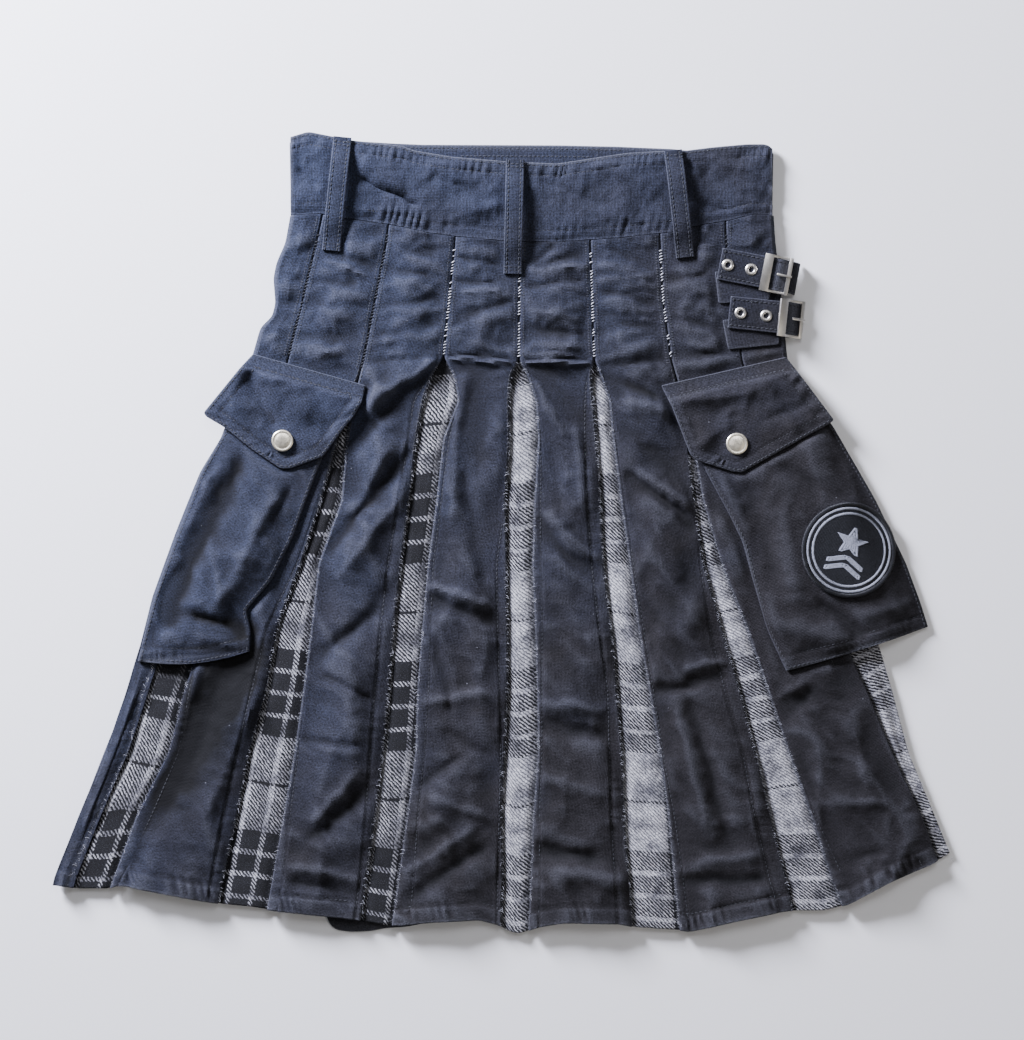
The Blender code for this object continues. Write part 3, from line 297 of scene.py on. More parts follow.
SKIRT_FOLDS = [
    # First panel
    Fold(-244, -112, -280, -200, 7, 1.5), Fold(-218, -106, -266, -212, 15, -1.5),
    Fold(-190, -120, -232, -214, 9, 0.9), Fold(-234, -236, -218, -278, 12, 1.0),
    Fold(-282, -232, -296, -272, 9, -0.9), Fold(-206, -190, -214, -240, 7, 0.7),
    # Second panel
    Fold(-113, 100, -59, 132, 8, 1.7), Fold(-123, 70, -64, 119, 9, -1.8),
    Fold(-114, 22, -94, 61, 10, 1.3), Fold(-136, -10, -81, 55, 8, -1.8),
    Fold(-124, -26, -84, 24, 9, 1.3), Fold(-93, -53, -149, -99, 8, -1.7, -3),
    Fold(-121, -112, -118, -165, 14, 1.4), Fold(-138, -114, -108, -130, 3.2, -0.7),
    Fold(-157, -164, -118, -168, 4, -0.8), Fold(-149, -240, -110, -207, 8, -1.1),
    Fold(-145, -224, -122, -197, 7, 1.0), Fold(-162, -278, -120, -287, 5, -0.9),
    Fold(-161, -266, -121, -276, 6, 1.1), Fold(-150, -60, -135, -90, 8, 1.0),
    # Third panel
    Fold(-56, -44, -18, -57, 6, 1.5, -2), Fold(-54, -55, -14, -70, 8, -1.0, -2),
    Fold(-58, -135, -19, -128, 6, 1.0), Fold(-56, -86, -42, -137, 5, -0.9),
    Fold(-63, -199, -40, -182, 5, -1.1), Fold(-71, -288, -22, -254, 7, -1.4),
    Fold(-74, -268, -30, -240, 7, 1.0), Fold(-18, 125, -20, 65, 12, -1.8),
    Fold(-36, 108, -40, 20, 9, 1.1), Fold(-30, 40, -16, -30, 8, -1.0),
    Fold(-52, -212, -20, -224, 6, 0.9), Fold(-40, -160, -16, -176, 6, -0.8),
    # Fourth panel
    Fold(31, 125, 61, 91, 6, -1.5), Fold(26, 116, 46, 80, 6, 1.0),
    Fold(30, 7, 70, -34, 5, -2.0, 4), Fold(38, 12, 74, -20, 6, 1.2, 3),
    Fold(32, -154, 82, -162, 7, -1.8), Fold(30, -136, 80, -141, 7, 1.0),
    Fold(32, -252, 67, -258, 7, -1.8), Fold(51, -272, 90, -276, 9, 1.3),
    Fold(58, 78, 62, 30, 8, 1.0), Fold(40, 60, 44, 26, 7, -0.8),
    Fold(44, -66, 66, -96, 8, -0.8), Fold(36, -196, 76, -206, 8, 0.8),
    # Fifth panel
    Fold(82, 125, 119, 108, 5, -1.4), Fold(101, 101, 128, 96, 6, 1.4),
    Fold(108, 73, 129, 53, 12, -1.6), Fold(104, 41, 151, 5, 5.2, -2.4, -2),
    Fold(112, 44, 154, 16, 6, 1.5), Fold(117, -127, 152, -121, 5, -1.4),
    Fold(151, -116, 171, -115, 4, -1.4), Fold(149, -107, 172, -103, 4, 1.0),
    Fold(151, -142, 178, -239, 7, -1.5), Fold(140, -146, 160, -226, 6, 0.8),
    Fold(148, -277, 201, -275, 6, -1.4), Fold(120, -20, 150, -60, 9, 1.0),
    Fold(160, -262, 196, -256, 6, 0.9), Fold(116, -60, 140, -92, 7, -0.9),
    # Sixth and seventh panels
    Fold(227, -142, 240, -131, 6, -0.8), Fold(222, -130, 236, -122, 5, 0.9),
    Fold(263, -215, 292, -213, 10, 1.1), Fold(240, -190, 262, -240, 8, -0.9),
    Fold(252, -150, 288, -176, 9, -0.9), Fold(170, 40, 196, -20, 8, -0.7),
    Fold(268, -262, 296, -256, 6, -0.9), Fold(288, -190, 306, -212, 6, 0.8),
]
BAND_FOLDS = [
    Fold(-110, 280, -72, 261, 3.6, -1.6), Fold(-107, 293, -84, 275, 6, 1.1),
    Fold(-160, 286, -150, 278, 4, -0.8), Fold(-50, 282, -20, 268, 6, -0.6),
    Fold(40, 276, 72, 262, 6, -0.7), Fold(80, 290, 118, 272, 6, 0.7),
    Fold(150, 290, 190, 268, 6, -0.8), Fold(168, 296, 206, 284, 5, 0.7),
    Fold(-30, 252, 0, 262, 5, 0.6), Fold(150, 262, 176, 256, 4, -0.7),
]
POCKET_FOLDS = [
    # Left pocket
    Fold(-212, 48, -266, -66, 11, -2.1), Fold(-232, 42, -282, -50, 9, 1.3),
    Fold(-240, -68, -202, -78, 6, -1.4), Fold(-184, 20, -220, -50, 11, 1.3),
    Fold(-236, -84, -214, -92, 6, 0.8), Fold(-262, -84, -280, -60, 7, 0.8),
    Fold(-172, 30, -190, -2, 6, -0.8), Fold(-230, -20, -222, -52, 6, 0.7),
    # Right pocket
    Fold(215, -72, 262, -84, 12, 1.1), Fold(256, -57, 279, -77, 6, -1.3),
    Fold(196, 30, 214, -30, 10, -0.9), Fold(176, 36, 192, 4, 6, 0.7),
    Fold(224, 50, 262, 30, 9, -0.9), Fold(224, 10, 232, -40, 9, 0.7),
    Fold(288, -66, 318, -56, 7, 0.6),
]
FLAP_FOLDS = [
    Fold(-205, 130, -181, 84, 9, -1.5), Fold(-186, 128, -160, 96, 9, 1.3),
    Fold(-150, 112, -136, 84, 8, -0.7), Fold(-216, 104, -204, 86, 6, 0.7),
    Fold(144, 104, 190, 110, 6, 0.9), Fold(156, 94, 206, 102, 9, -0.3),
    Fold(206, 118, 232, 84, 9, 0.8), Fold(160, 72, 178, 84, 7, 0.6),
    Fold(214, 92, 236, 100, 6, -0.6),
]

# Where the canvas is painted darker as painted shade, below a pocket and in the deeper folds; the height
# is how much
PAINTED_SHADE_AREAS = [
    Fold(-204, -112, -262, -196, 26, 0.95), Fold(-232, -106, -268, -150, 16, 0.45),
    Fold(-296, -104, -304, -128, 12, 0.42), Fold(-22, 120, -20, 66, 14, 0.26),
    Fold(34, 124, 60, 94, 9, 0.22), Fold(84, 122, 118, 110, 8, 0.20),
    Fold(112, 76, 130, 52, 13, 0.22), Fold(-122, 66, -66, 112, 7, 0.18),
    Fold(-134, -10, -84, 50, 6, 0.22), Fold(-148, -242, -112, -208, 8, 0.22),
    Fold(36, -254, 66, -260, 8, 0.20), Fold(152, -276, 198, -274, 8, 0.20),
    Fold(-70, -290, -26, -258, 7, 0.18), Fold(236, -128, 300, -112, 12, 0.30),
    Fold(-216, 44, -262, -60, 13, 0.42), Fold(-240, -66, -206, -76, 8, 0.36),
    Fold(-205, 128, -183, 90, 10, 0.25), Fold(150, 10, 128, -90, 10, 0.20),
]


def line(pairs, soften=0):
    """Reads a table of (place, value) pairs in between, with its corners rounded over soften mm."""
    table = np.array(sorted(pairs), float)
    place = np.arange(table[0, 0], table[-1, 0] + 0.5, 1.0)
    value = np.interp(place, table[:, 0], table[:, 1])
    if soften:
        window = np.hanning(2 * soften + 3)[1:-1]
        padded = np.pad(value, soften, mode="reflect", reflect_type="odd")
        value = np.convolve(padded, window / window.sum(), "valid")
    return lambda at: np.interp(at, place, value)


waist_seam = line(WAIST_SEAM, 5)
hem = line(HEM, 4)
band_top = line(BAND_TOP, 5)
apron_band_top = line(APRON_BAND_TOP, 5)
left_side = line(LEFT_SIDE, 5)
right_side = line(RIGHT_SIDE, 5)


def pleat_line(number, column, soften=5):
    return line([(row.y, getattr(row, column)) for row in PLEATS[number]], soften)


WOOL_LEFT = {number: pleat_line(number, "left") for number in PLEATS}
WOOL_RIGHT = {number: pleat_line(number, "right") for number in PLEATS}
RETURN_LEFT = {number: pleat_line(number, "return_left", 12) for number in PLEATS}
RETURN_RIGHT = {number: pleat_line(number, "return_right", 12) for number in PLEATS}


def ease(value):
    """A smooth step from 0 to 1."""
    value = np.clip(value, 0.0, 1.0)
    return value * value * (3 - 2 * value)


def bump(distance, width):
    """1 on a line and 0 away from it."""
    return np.exp(-(distance / width) ** 2)


def lumps(x, y, size, seed):
    """Smooth lumps of about one size, from -1 to 1, on a seeded lattice."""
    lattice = np.random.RandomState(seed).uniform(-1, 1, (64, 64))
    u, v = np.asarray(x, float) / size, np.asarray(y, float) / size
    i, j = np.floor(u).astype(int), np.floor(v).astype(int)
    s, t = ease(u - i), ease(v - j)
    low = lattice[i % 64, j % 64] * (1 - s) + lattice[(i + 1) % 64, j % 64] * s
    high = lattice[i % 64, (j + 1) % 64] * (1 - s) + lattice[(i + 1) % 64, (j + 1) % 64] * s
    return low * (1 - t) + high * t


def crumple(x, y, size, seed):
    """Small ridges and hollows of crushed cloth, about size mm apart, from -1 to 1."""
    u = x + size * 0.5 * lumps(x, y, size * 1.7, seed + 1)
    v = y + size * 0.5 * lumps(x, y, size * 1.3, seed + 2)
    broad = lumps(u, v, size, seed + 3)
    sharp = 1 - 2.2 * np.abs(lumps(u, v, size * 1.2, seed + 4))
    return 0.6 * broad + 0.4 * sharp


def gathers(along, pitch, seed):
    """The small ribs that a tight seam draws up across itself, uneven in pitch and height."""
    phase = along / pitch + 1.2 * lumps(along, 0 * along, pitch * 2.2, seed)
    height = 0.35 + 1.0 * lumps(along, 0 * along, pitch * 3.3, seed + 1)
    return np.sin(2 * np.pi * phase) * np.clip(height, 0.05, 1.1)


def folds_at(x, y, folds):
    """How far a table of folds lifts the cloth, with each one wavering along its length."""
    lift = np.zeros_like(x)
    waver = 1.3 * lumps(x, y, 14, 1) + 0.5 * lumps(x, y, 5, 2)
    for fold in folds:
        dx, dy = fold.x1 - fold.x0, fold.y1 - fold.y0
        length = math.hypot(dx, dy)
        run = ((x - fold.x0) * dx + (y - fold.y0) * dy) / length
        side = ((x - fold.x0) * dy - (y - fold.y0) * dx) / length
        share = np.clip(run / length, 0, 1)
        side = side - fold.bow * 4 * share * (1 - share) + waver
        past = np.maximum(np.maximum(-run, run - length), 0.0)
        fall = np.abs(side / (0.8 * fold.width)) ** 1.5 + (past / (1.3 * fold.width)) ** 2
        lift += FOLD_DEPTH * fold.height * np.exp(-fall)
    return lift


def outline_of(rows):
    """The outline of a pocket, down its left side and up its right one."""
    return [(row.x_left, row.y_left) for row in rows] + [(row.x_right, row.y_right)
                                                         for row in rows[::-1]]


def distance_outside(x, y, outline):
    """Distance to an outline, negative inside it."""
    inside = np.zeros(np.shape(x), bool)
    nearest = np.full(np.shape(x), 1e9)
    for (ax, ay), (bx, by) in zip(outline, outline[1:] + outline[:1]):
        dx, dy = bx - ax, by - ay
        share = np.clip(((x - ax) * dx + (y - ay) * dy) / (dx * dx + dy * dy), 0, 1)
        nearest = np.minimum(nearest, np.hypot(x - ax - share * dx, y - ay - share * dy))
        if ay != by:
            crosses = (ay > y) != (by > y)
            inside ^= crosses & (x < (bx - ax) * (y - ay) / (by - ay) + ax)
    return np.where(inside, -nearest, nearest)


def strap_outline(x, y, turn, heights):
    """The plan of a strap."""
    along = np.array([math.cos(math.radians(turn)), math.sin(math.radians(turn))])
    across = np.array([-along[1], along[0]]) * STRAP_WIDTH / 2
    start, end = np.array([x, y]), np.array([x, y]) + along * heights[-1][0]
    return [tuple(start + across), tuple(start - across), tuple(end - across), tuple(end + across)]


COVERS = [outline_of(POCKET_LEFT), outline_of(POCKET_RIGHT), FLAP_LEFT, FLAP_RIGHT]
COVERS += [strap_outline(*strap) for strap in STRAPS.values()] + list(TABS.values())
FEET = [(loop[0], loop[1]) for loop in BELT_LOOPS.values()]


def covered(x, y, reach=9.0):
    """1 where a pocket, flap, strap or belt loop lies on the panels, so that they stay flat there."""
    cover = np.zeros(np.shape(x))
    for outline in COVERS:
        cover = np.maximum(cover, ease(1 - distance_outside(x, y, outline) / reach))
    for foot_x, foot_y in FEET:
        away = np.maximum(np.abs(x - foot_x - 0.05 * (y - foot_y)) - 8, 0)
        below = np.maximum(foot_y - 3 - y, 0)
        cover = np.maximum(cover, ease(1 - np.hypot(away, below) / reach))
    return cover


def skirt_relief(x, y):
    """Folds and soft unevenness of the panels before their edges are thought of."""
    yoke = ease((y - 128) / 14)
    wide = crumple(x / 2.0, y, 13, 210) * 2.7 + crumple(x / 1.5, y, 5.5, 220) * 0.9
    long = crumple(x, y / 1.7, 25, 230) * 3.3 + crumple(x + y * 0.6, y, 11, 240) * 0.9
    fine = crumple(x, y, 3.2, 250) * 0.16
    lift = wide * yoke + long * (1 - yoke) + fine
    lift += folds_at(x, y, YOKE_FOLDS) + folds_at(x, y, CREASE_FOLDS)
    lift += folds_at(x, y, SKIRT_FOLDS)
    return lift


def hem_relief(x, y):
    """The doubled hem: a step at its stitch line, with puckers over it."""
    up = y - hem(x)
    pucker = gathers(x + 0.25 * up, 6.4, 11) * 1.0 * bump(up - 8, 7)
    return 0.6 * ease((14.5 - up) / 1.5) - 0.8 * bump(up - 14.2, 1.0) + pucker


def edge_relief(away, along, width, seed):
    """A stitched band along a panel's edge: puckers in it, a groove at its seam and a swell past it."""
    shown = ease(width / 4)
    band = ease((width - away + 1) / 2) * shown
    pucker = gathers(along, 6.2, seed) * 0.26 * (0.3 + band) * bump(away - width / 2, 7)
    groove = -0.75 * bump(away - width, 0.9) * shown
    swell = 0.3 * shown * (0.5 + 0.8 * lumps(along, 0 * away, 22, seed + 1)) * bump(
        away - width - 2.4, 2.4)
    roll = -0.35 * bump(away, 1.3)
    return pucker + groove + swell + roll


def panel_edges(number, y):
    """The x of a panel's two edges and the widths of its stitched bands."""
    if number == 0:
        left, band_left = left_side(y), np.zeros_like(y)
    else:
        left, band_left = WOOL_RIGHT[number](y) + SEAM_GAP / 2, RETURN_RIGHT[number](y)
    if number == 7:
        right, band_right = right_side(y), np.zeros_like(y)
    else:
        right, band_right = WOOL_LEFT[number + 1](y) - SEAM_GAP / 2, RETURN_LEFT[number + 1](y)
    return left, right, band_left, band_right


def over(lift, least, soft=0.7):
    """A lift held above a least value, with a soft bottom."""
    return least + soft * np.logaddexp(0, (lift - least) / soft)


def panel_z(number, x, y):
    """The height of the middle of a panel's face."""
    left, right, band_left, band_right = panel_edges(number, y)
    from_left, from_right = x - left, right - x
    inside = ease((np.minimum(from_left, from_right) + 1) / 9.0)
    middle = ease(np.minimum(from_left, from_right) / 30.0)
    flat = 1 - covered(x, y)
    lift = skirt_relief(x, y) * (0.10 + 0.90 * inside) + PANEL_SWELL * middle
    lift += edge_relief(from_left, y, band_left, 20 + number)
    lift += edge_relief(from_right, y, band_right, 40 + number)
    lift += hem_relief(x, y) * ease((np.minimum(from_left, from_right) + 1) / 3)
    return FACE_Z + over(lift, -0.75) * flat


def along_distance(points):
    """Running length of each line of points along the second last axis."""
    steps = np.linalg.norm(np.diff(points, axis=-2), axis=-1)
    start = np.zeros(steps.shape[:-1] + (1,))
    return np.concatenate([start, np.cumsum(steps, axis=-1)], axis=-1)


def srgb(code, alpha=1.0):
    """An sRGB hex colour as linear values."""
    channels = [int(code[i:i + 2], 16) / 255 for i in (1, 3, 5)]
    linear = [c / 12.92 if c <= 0.04045 else ((c + 0.055) / 1.055) ** 2.4 for c in channels]
    return (*linear, alpha)


def add_node(tree, kind, inputs=None, **settings):
    """A node with its settings, its input values and its links in one call."""
    node = tree.nodes.new(kind)
    for name, value in settings.items():
        setattr(node, name, value)
    for key, value in (inputs or {}).items():
        if isinstance(value, bpy.types.NodeSocket):
            tree.links.new(value, node.inputs[key])
        else:
            node.inputs[key].default_value = value
    return node


def start_material(name):
    made = bpy.data.materials.new(name)
    made.use_nodes = True
    return made, made.node_tree, made.node_tree.nodes["Principled BSDF"]


def math_node(tree, operation, first, second=0.0, third=0.0):
    inputs = {0: first, 1: second, 2: third}
    if operation in ("FRACT", "ABSOLUTE", "FLOOR"):
        inputs = {0: first}
    return add_node(tree, "ShaderNodeMath", inputs, operation=operation).outputs[0]


def ramp_node(tree, factor, stops, interpolation="LINEAR"):
    """A colour ramp from (place, colour) stops."""
    node = add_node(tree, "ShaderNodeValToRGB", {0: factor})
    node.color_ramp.interpolation = interpolation
    elements = node.color_ramp.elements
    for index, (place, colour) in enumerate(stops):
        element = elements[index] if index < 2 else elements.new(place)
        element.position = place
        element.color = colour
    return node.outputs[0]


def mix_node(tree, factor, first, second, blend_type="MIX"):
    node = add_node(tree, "ShaderNodeMix", data_type="RGBA", blend_type=blend_type)
    for index, value in ((0, factor), (6, first), (7, second)):
        if isinstance(value, bpy.types.NodeSocket):
            tree.links.new(value, node.inputs[index])
        else:
            node.inputs[index].default_value = value
    return node.outputs[2]


def noise_node(tree, vector, size, detail=3.0, roughness=0.55):
    """Noise whose lumps are about size mm, on coordinates in metres."""
    return add_node(tree, "ShaderNodeTexNoise", {
        "Vector": vector, "Scale": 1 / (size * MM), "Detail": detail, "Roughness": roughness,
    }).outputs[0]


# Length of a wave texture's period at a scale of 1
WAVE_LENGTH = math.pi / 10
# Canvas yarns lie 0.5 mm apart, which is finer than a pixel, so they are drawn twice as coarse
CANVAS_YARN = 1.15


def canvas_material(name, base, pale, blue, pale_blue):
    """Washed black cotton canvas: matt, faintly mottled and greyer where its edges have worn; bluer in
    faded patches, and bluer towards the upper left as painted light from the window; darker in its
    hollows as painted shade.
    """
    made, tree, shader = start_material(name)
    uv = add_node(tree, "ShaderNodeUVMap", uv_map="cloth").outputs[0]
    spot = add_node(tree, "ShaderNodeTexCoord").outputs["Object"]
    wear_and_shade = add_node(tree, "ShaderNodeAttribute", attribute_name="wear_and_shade").outputs["Fac"]
    mottle = noise_node(tree, uv, 1.4, 2.0, 0.8)
    streak = noise_node(tree, add_node(tree, "ShaderNodeMapping", {0: uv, 3: (1, 5, 1)}).outputs[0],
                        5.0, 3.0, 0.6)
    fade = noise_node(tree, spot, 55, 3.0, 0.5)
    place = add_node(tree, "ShaderNodeSeparateXYZ", {0: spot})
    # Bluer in random faded patches, and bluer towards the upper left as painted light from the window
    painted_window_light = math_node(tree, "ADD", math_node(tree, "MULTIPLY", place.outputs[0], -1.5),
                           math_node(tree, "MULTIPLY_ADD", place.outputs[1], 1.3, 0.30))
    fade_and_window_light = math_node(tree, "MULTIPLY_ADD", fade, 0.8, math_node(tree, "ADD", painted_window_light, -0.4))
    fade_and_window_light = add_node(tree, "ShaderNodeClamp", {0: fade_and_window_light}).outputs[0]
    colour = mix_node(tree, fade_and_window_light, srgb(base), srgb(blue))
    speckle = math_node(tree, "ADD", math_node(tree, "MULTIPLY", mottle, 0.75),
                        math_node(tree, "MULTIPLY", streak, 0.35))
    fleck = mix_node(tree, fade_and_window_light, srgb(pale), srgb(pale_blue))
    colour = mix_node(tree, ramp_node(tree, speckle, [(0.40, (0, 0, 0, 1)), (0.74, (1, 1, 1, 1))]),
                      colour, fleck)
    # Below zero, the attribute darkens the canvas: painted shade in hollows, grooves, deep folds and
    # below the left pocket, and a darker tone on the straps and belt loops
    shade_and_tone = add_node(tree, "ShaderNodeClamp", {0: math_node(tree, "MULTIPLY", wear_and_shade, -1.6)})
    colour = mix_node(tree, shade_and_tone.outputs[0], colour, srgb("#08080a"))
    # Above zero it makes the canvas greyer: wear on edges and ridges, and painted light on the straps
    # inside the buckles
    wear_and_light = math_node(tree, "MULTIPLY", wear_and_shade, math_node(tree, "MULTIPLY_ADD", mottle, 1.6, -0.15))
    wear_and_light = add_node(tree, "ShaderNodeClamp", {0: wear_and_light}).outputs[0]
    colour = mix_node(tree, wear_and_light, colour, srgb("#55575f"))
    lint = add_node(tree, "ShaderNodeTexVoronoi", {"Vector": spot, "Scale": 1 / (26 * MM)},
                    feature="F1").outputs["Distance"]
    lint = ramp_node(tree, lint, [(0.012, (1, 1, 1, 1)), (0.026, (0, 0, 0, 1))])
    colour = mix_node(tree, math_node(tree, "MULTIPLY", lint, 0.35), colour, srgb("#8b8d95"))
    tree.links.new(colour, shader.inputs["Base Color"])
    warp = add_node(tree, "ShaderNodeTexWave", {
        "Vector": uv, "Scale": WAVE_LENGTH / (CANVAS_YARN * MM), "Distortion": 0.6,
    }, bands_direction="X").outputs["Fac"]
    weft = add_node(tree, "ShaderNodeTexWave", {
        "Vector": uv, "Scale": WAVE_LENGTH / (CANVAS_YARN * MM), "Distortion": 0.6,
    }, bands_direction="Y").outputs["Fac"]
    weave = math_node(tree, "ADD", math_node(tree, "MULTIPLY", warp, weft),
                      math_node(tree, "MULTIPLY", mottle, 1.5))
    crease = add_node(tree, "ShaderNodeMapping", {0: spot, 3: (0.75, 1.0, 1)}).outputs[0]
    crinkle = add_node(tree, "ShaderNodeBump", {
        "Strength": 1.0, "Distance": 0.62 * MM, "Height": noise_node(tree, crease, 7.0, 5.0, 0.68),
    }).outputs[0]
    height = add_node(tree, "ShaderNodeBump", {
        "Strength": 0.8, "Distance": 0.24 * MM, "Height": weave, "Normal": crinkle,
    })
    tree.links.new(height.outputs[0], shader.inputs["Normal"])
    shader.inputs["Roughness"].default_value = 0.86
    shader.inputs["Specular IOR Level"].default_value = 0.2
    shader.inputs["Sheen Weight"].default_value = 0.06
    shader.inputs["Sheen Roughness"].default_value = 0.45
    shader.inputs["Sheen Tint"].default_value = srgb("#9ba4c0")
    return made


# The plaid, charted across and down alike: a pale block with a dark line through it, then a dark
# block with three pale lines. Its repeat in mm, and each edge as a share of it
PLAID = 148.0
PALE_YARN = "#eaeaee"
DARK_YARN = "#15161b"
PLAID_CHART = [
    (0.0, "pale"), (0.252, "dark"), (0.268, "pale"), (0.52, "dark"), (0.622, "pale"),
    (0.648, "dark"), (0.744, "pale"), (0.770, "dark"), (0.866, "pale"), (0.892, "dark"),
]
# The wool's diagonal wale, drawn a little coarser than the 2 mm of the real twill
WALE = 3.1


def wool_material(name):
    """Brushed wool twill: soft, hairy and without shine, its plaid woven from two yarns."""
    made, tree, shader = start_material(name)
    uv = add_node(tree, "ShaderNodeUVMap", uv_map="cloth").outputs[0]
    hair = noise_node(tree, uv, 1.7, 3.0, 0.8)
    waver = add_node(tree, "ShaderNodeTexNoise", {
        "Vector": uv, "Scale": 1 / (2.4 * MM), "Detail": 2.0,
    }).outputs["Color"]
    shift = add_node(tree, "ShaderNodeVectorMath", {
        0: waver, 1: (0.5, 0.5, 0.5),
    }, operation="SUBTRACT").outputs[0]
    moved = add_node(tree, "ShaderNodeVectorMath", {
        0: shift, 1: (2.2 * MM, 2.2 * MM, 0), 2: uv,
    }, operation="MULTIPLY_ADD").outputs[0]
    split = add_node(tree, "ShaderNodeSeparateXYZ", {0: moved})
    stops = [(place, srgb(PALE_YARN if shade == "pale" else DARK_YARN))
             for place, shade in PLAID_CHART]
    yarns = []
    for axis in (0, 1):
        share = math_node(tree, "FRACT", math_node(tree, "MULTIPLY", split.outputs[axis],
                                                   1 / (PLAID * MM)))
        yarns.append(ramp_node(tree, share, stops, "CONSTANT"))
    diagonal = math_node(tree, "ADD", split.outputs[0], split.outputs[1])
    wale = math_node(tree, "FRACT", math_node(tree, "MULTIPLY", diagonal, 1 / (WALE * MM)))
    float_side = ramp_node(tree, wale, [(0.40, (0, 0, 0, 1)), (0.55, (1, 1, 1, 1)),
                                        (0.90, (1, 1, 1, 1)), (1.0, (0, 0, 0, 1))])
    colour = mix_node(tree, float_side, yarns[0], yarns[1])
    gap = ramp_node(tree, wale, [(0.0, srgb("#3e3e44")), (0.34, srgb("#ffffff")),
                                 (0.62, srgb("#ffffff")), (1.0, srgb("#3e3e44"))])
    colour = mix_node(tree, 1.0, colour, gap, "MULTIPLY")
    grain = ramp_node(tree, hair, [(0.34, srgb("#6e6e74")), (0.50, srgb("#c8c8ca")),
                                   (0.64, srgb("#ffffff"))])
    colour = mix_node(tree, 1.0, colour, grain, "MULTIPLY")
    patchy = ramp_node(tree, noise_node(tree, uv, 20, 3.0, 0.6),
                       [(0.34, srgb("#8b8b90")), (0.58, srgb("#ffffff"))])
    colour = mix_node(tree, 1.0, colour, patchy, "MULTIPLY")
    # The attribute darkens the wool as painted shade, along the panels' edges, at the tops of the
    # openings and under the left pocket
    shade = add_node(tree, "ShaderNodeAttribute", attribute_name="wear_and_shade").outputs["Fac"]
    colour = mix_node(tree, shade, colour, srgb("#0b0b0e"))
    fluff = ramp_node(tree, noise_node(tree, uv, 0.8, 2.0, 0.8),
                      [(0.55, (0, 0, 0, 1)), (0.72, (1, 1, 1, 1))])
    colour = mix_node(tree, math_node(tree, "MULTIPLY", fluff, 0.28), colour, srgb("#6c6e78"))
    tree.links.new(colour, shader.inputs["Base Color"])
    nap = math_node(tree, "ADD", math_node(tree, "MULTIPLY", wale, 0.6), hair)
    height = add_node(tree, "ShaderNodeBump", {
        "Strength": 0.7, "Distance": 0.4 * MM, "Height": nap,
    })
    tree.links.new(height.outputs[0], shader.inputs["Normal"])
    shader.inputs["Roughness"].default_value = 0.95
    shader.inputs["Specular IOR Level"].default_value = 0.15
    shader.inputs["Sheen Weight"].default_value = 0.1
    shader.inputs["Sheen Roughness"].default_value = 0.6
    return made


def thread_material(name, dark, light, shine):
    """Spun polyester sewing thread: smooth and a little shinier than the cloth that it holds."""
    made, tree, shader = start_material(name)
    spot = add_node(tree, "ShaderNodeTexCoord").outputs["Object"]
    twist = noise_node(tree, spot, 1.4, 2.0, 0.6)
    tree.links.new(mix_node(tree, twist, srgb(dark), srgb(light)), shader.inputs["Base Color"])
    height = add_node(tree, "ShaderNodeBump", {
        "Strength": 0.4, "Distance": 0.08 * MM, "Height": twist,
    })
    tree.links.new(height.outputs[0], shader.inputs["Normal"])
    shader.inputs["Roughness"].default_value = shine
    shader.inputs["Sheen Weight"].default_value = 0.05
    return made


def metal_material(name, colour, wear_and_light, roughness):
    """Nickel plate over pressed metal: bright, with fine rubbing marks from wear."""
    made, tree, shader = start_material(name)
    spot = add_node(tree, "ShaderNodeTexCoord").outputs["Object"]
    rub = noise_node(tree, spot, 3.0, 4.0, 0.7)
    tree.links.new(mix_node(tree, rub, srgb(colour), srgb(wear_and_light)), shader.inputs["Base Color"])
    dull = ramp_node(tree, rub, [(0.3, (roughness,) * 3 + (1,)), (0.8, (roughness + 0.2,) * 3 + (1,))])
    tree.links.new(dull, shader.inputs["Roughness"])
    height = add_node(tree, "ShaderNodeBump", {
        "Strength": 0.25, "Distance": 0.05 * MM, "Height": noise_node(tree, spot, 0.7, 2.0, 0.5),
    })
    tree.links.new(height.outputs[0], shader.inputs["Normal"])
    shader.inputs["Metallic"].default_value = 1.0
    return made


# The third and fourth colours are the bluer canvas of faded patches and of the painted window light
BLACK_CANVAS = canvas_material("washed_black_cotton_canvas", "#0d0c0d", "#29272b",
                               "#10131a", "#333b52")
PLAID_WOOL = wool_material("brushed_plaid_wool_twill")
BADGE_GROUND = canvas_material("black_badge_twill", "#0e0f11", "#1c1d21", "#101114", "#1e2026")
SEWING_THREAD = thread_material("black_polyester_thread", "#0c0d11", "#1f222b", 0.75)
EDGE_THREAD = thread_material("black_rayon_edge_thread", "#0c0d10", "#23252c", 0.45)
WOOL_FIBRE = thread_material("pale_wool_fibre", "#6f7078", "#c3c4ca", 0.9)
DARK_FIBRE = thread_material("dark_wool_fibre", "#17171a", "#3a3b42", 0.9)
SILVER_THREAD = thread_material("grey_rayon_embroidery_thread", "#6a6d78", "#a9adba", 0.4)
SNAP_METAL = metal_material("pale_nickel_brass_snap", "#fdf6e4", "#f1e8cd", 0.3)
BUCKLE_METAL = metal_material("nickel_plated_steel", "#e0ddd6", "#b0aca5", 0.28)


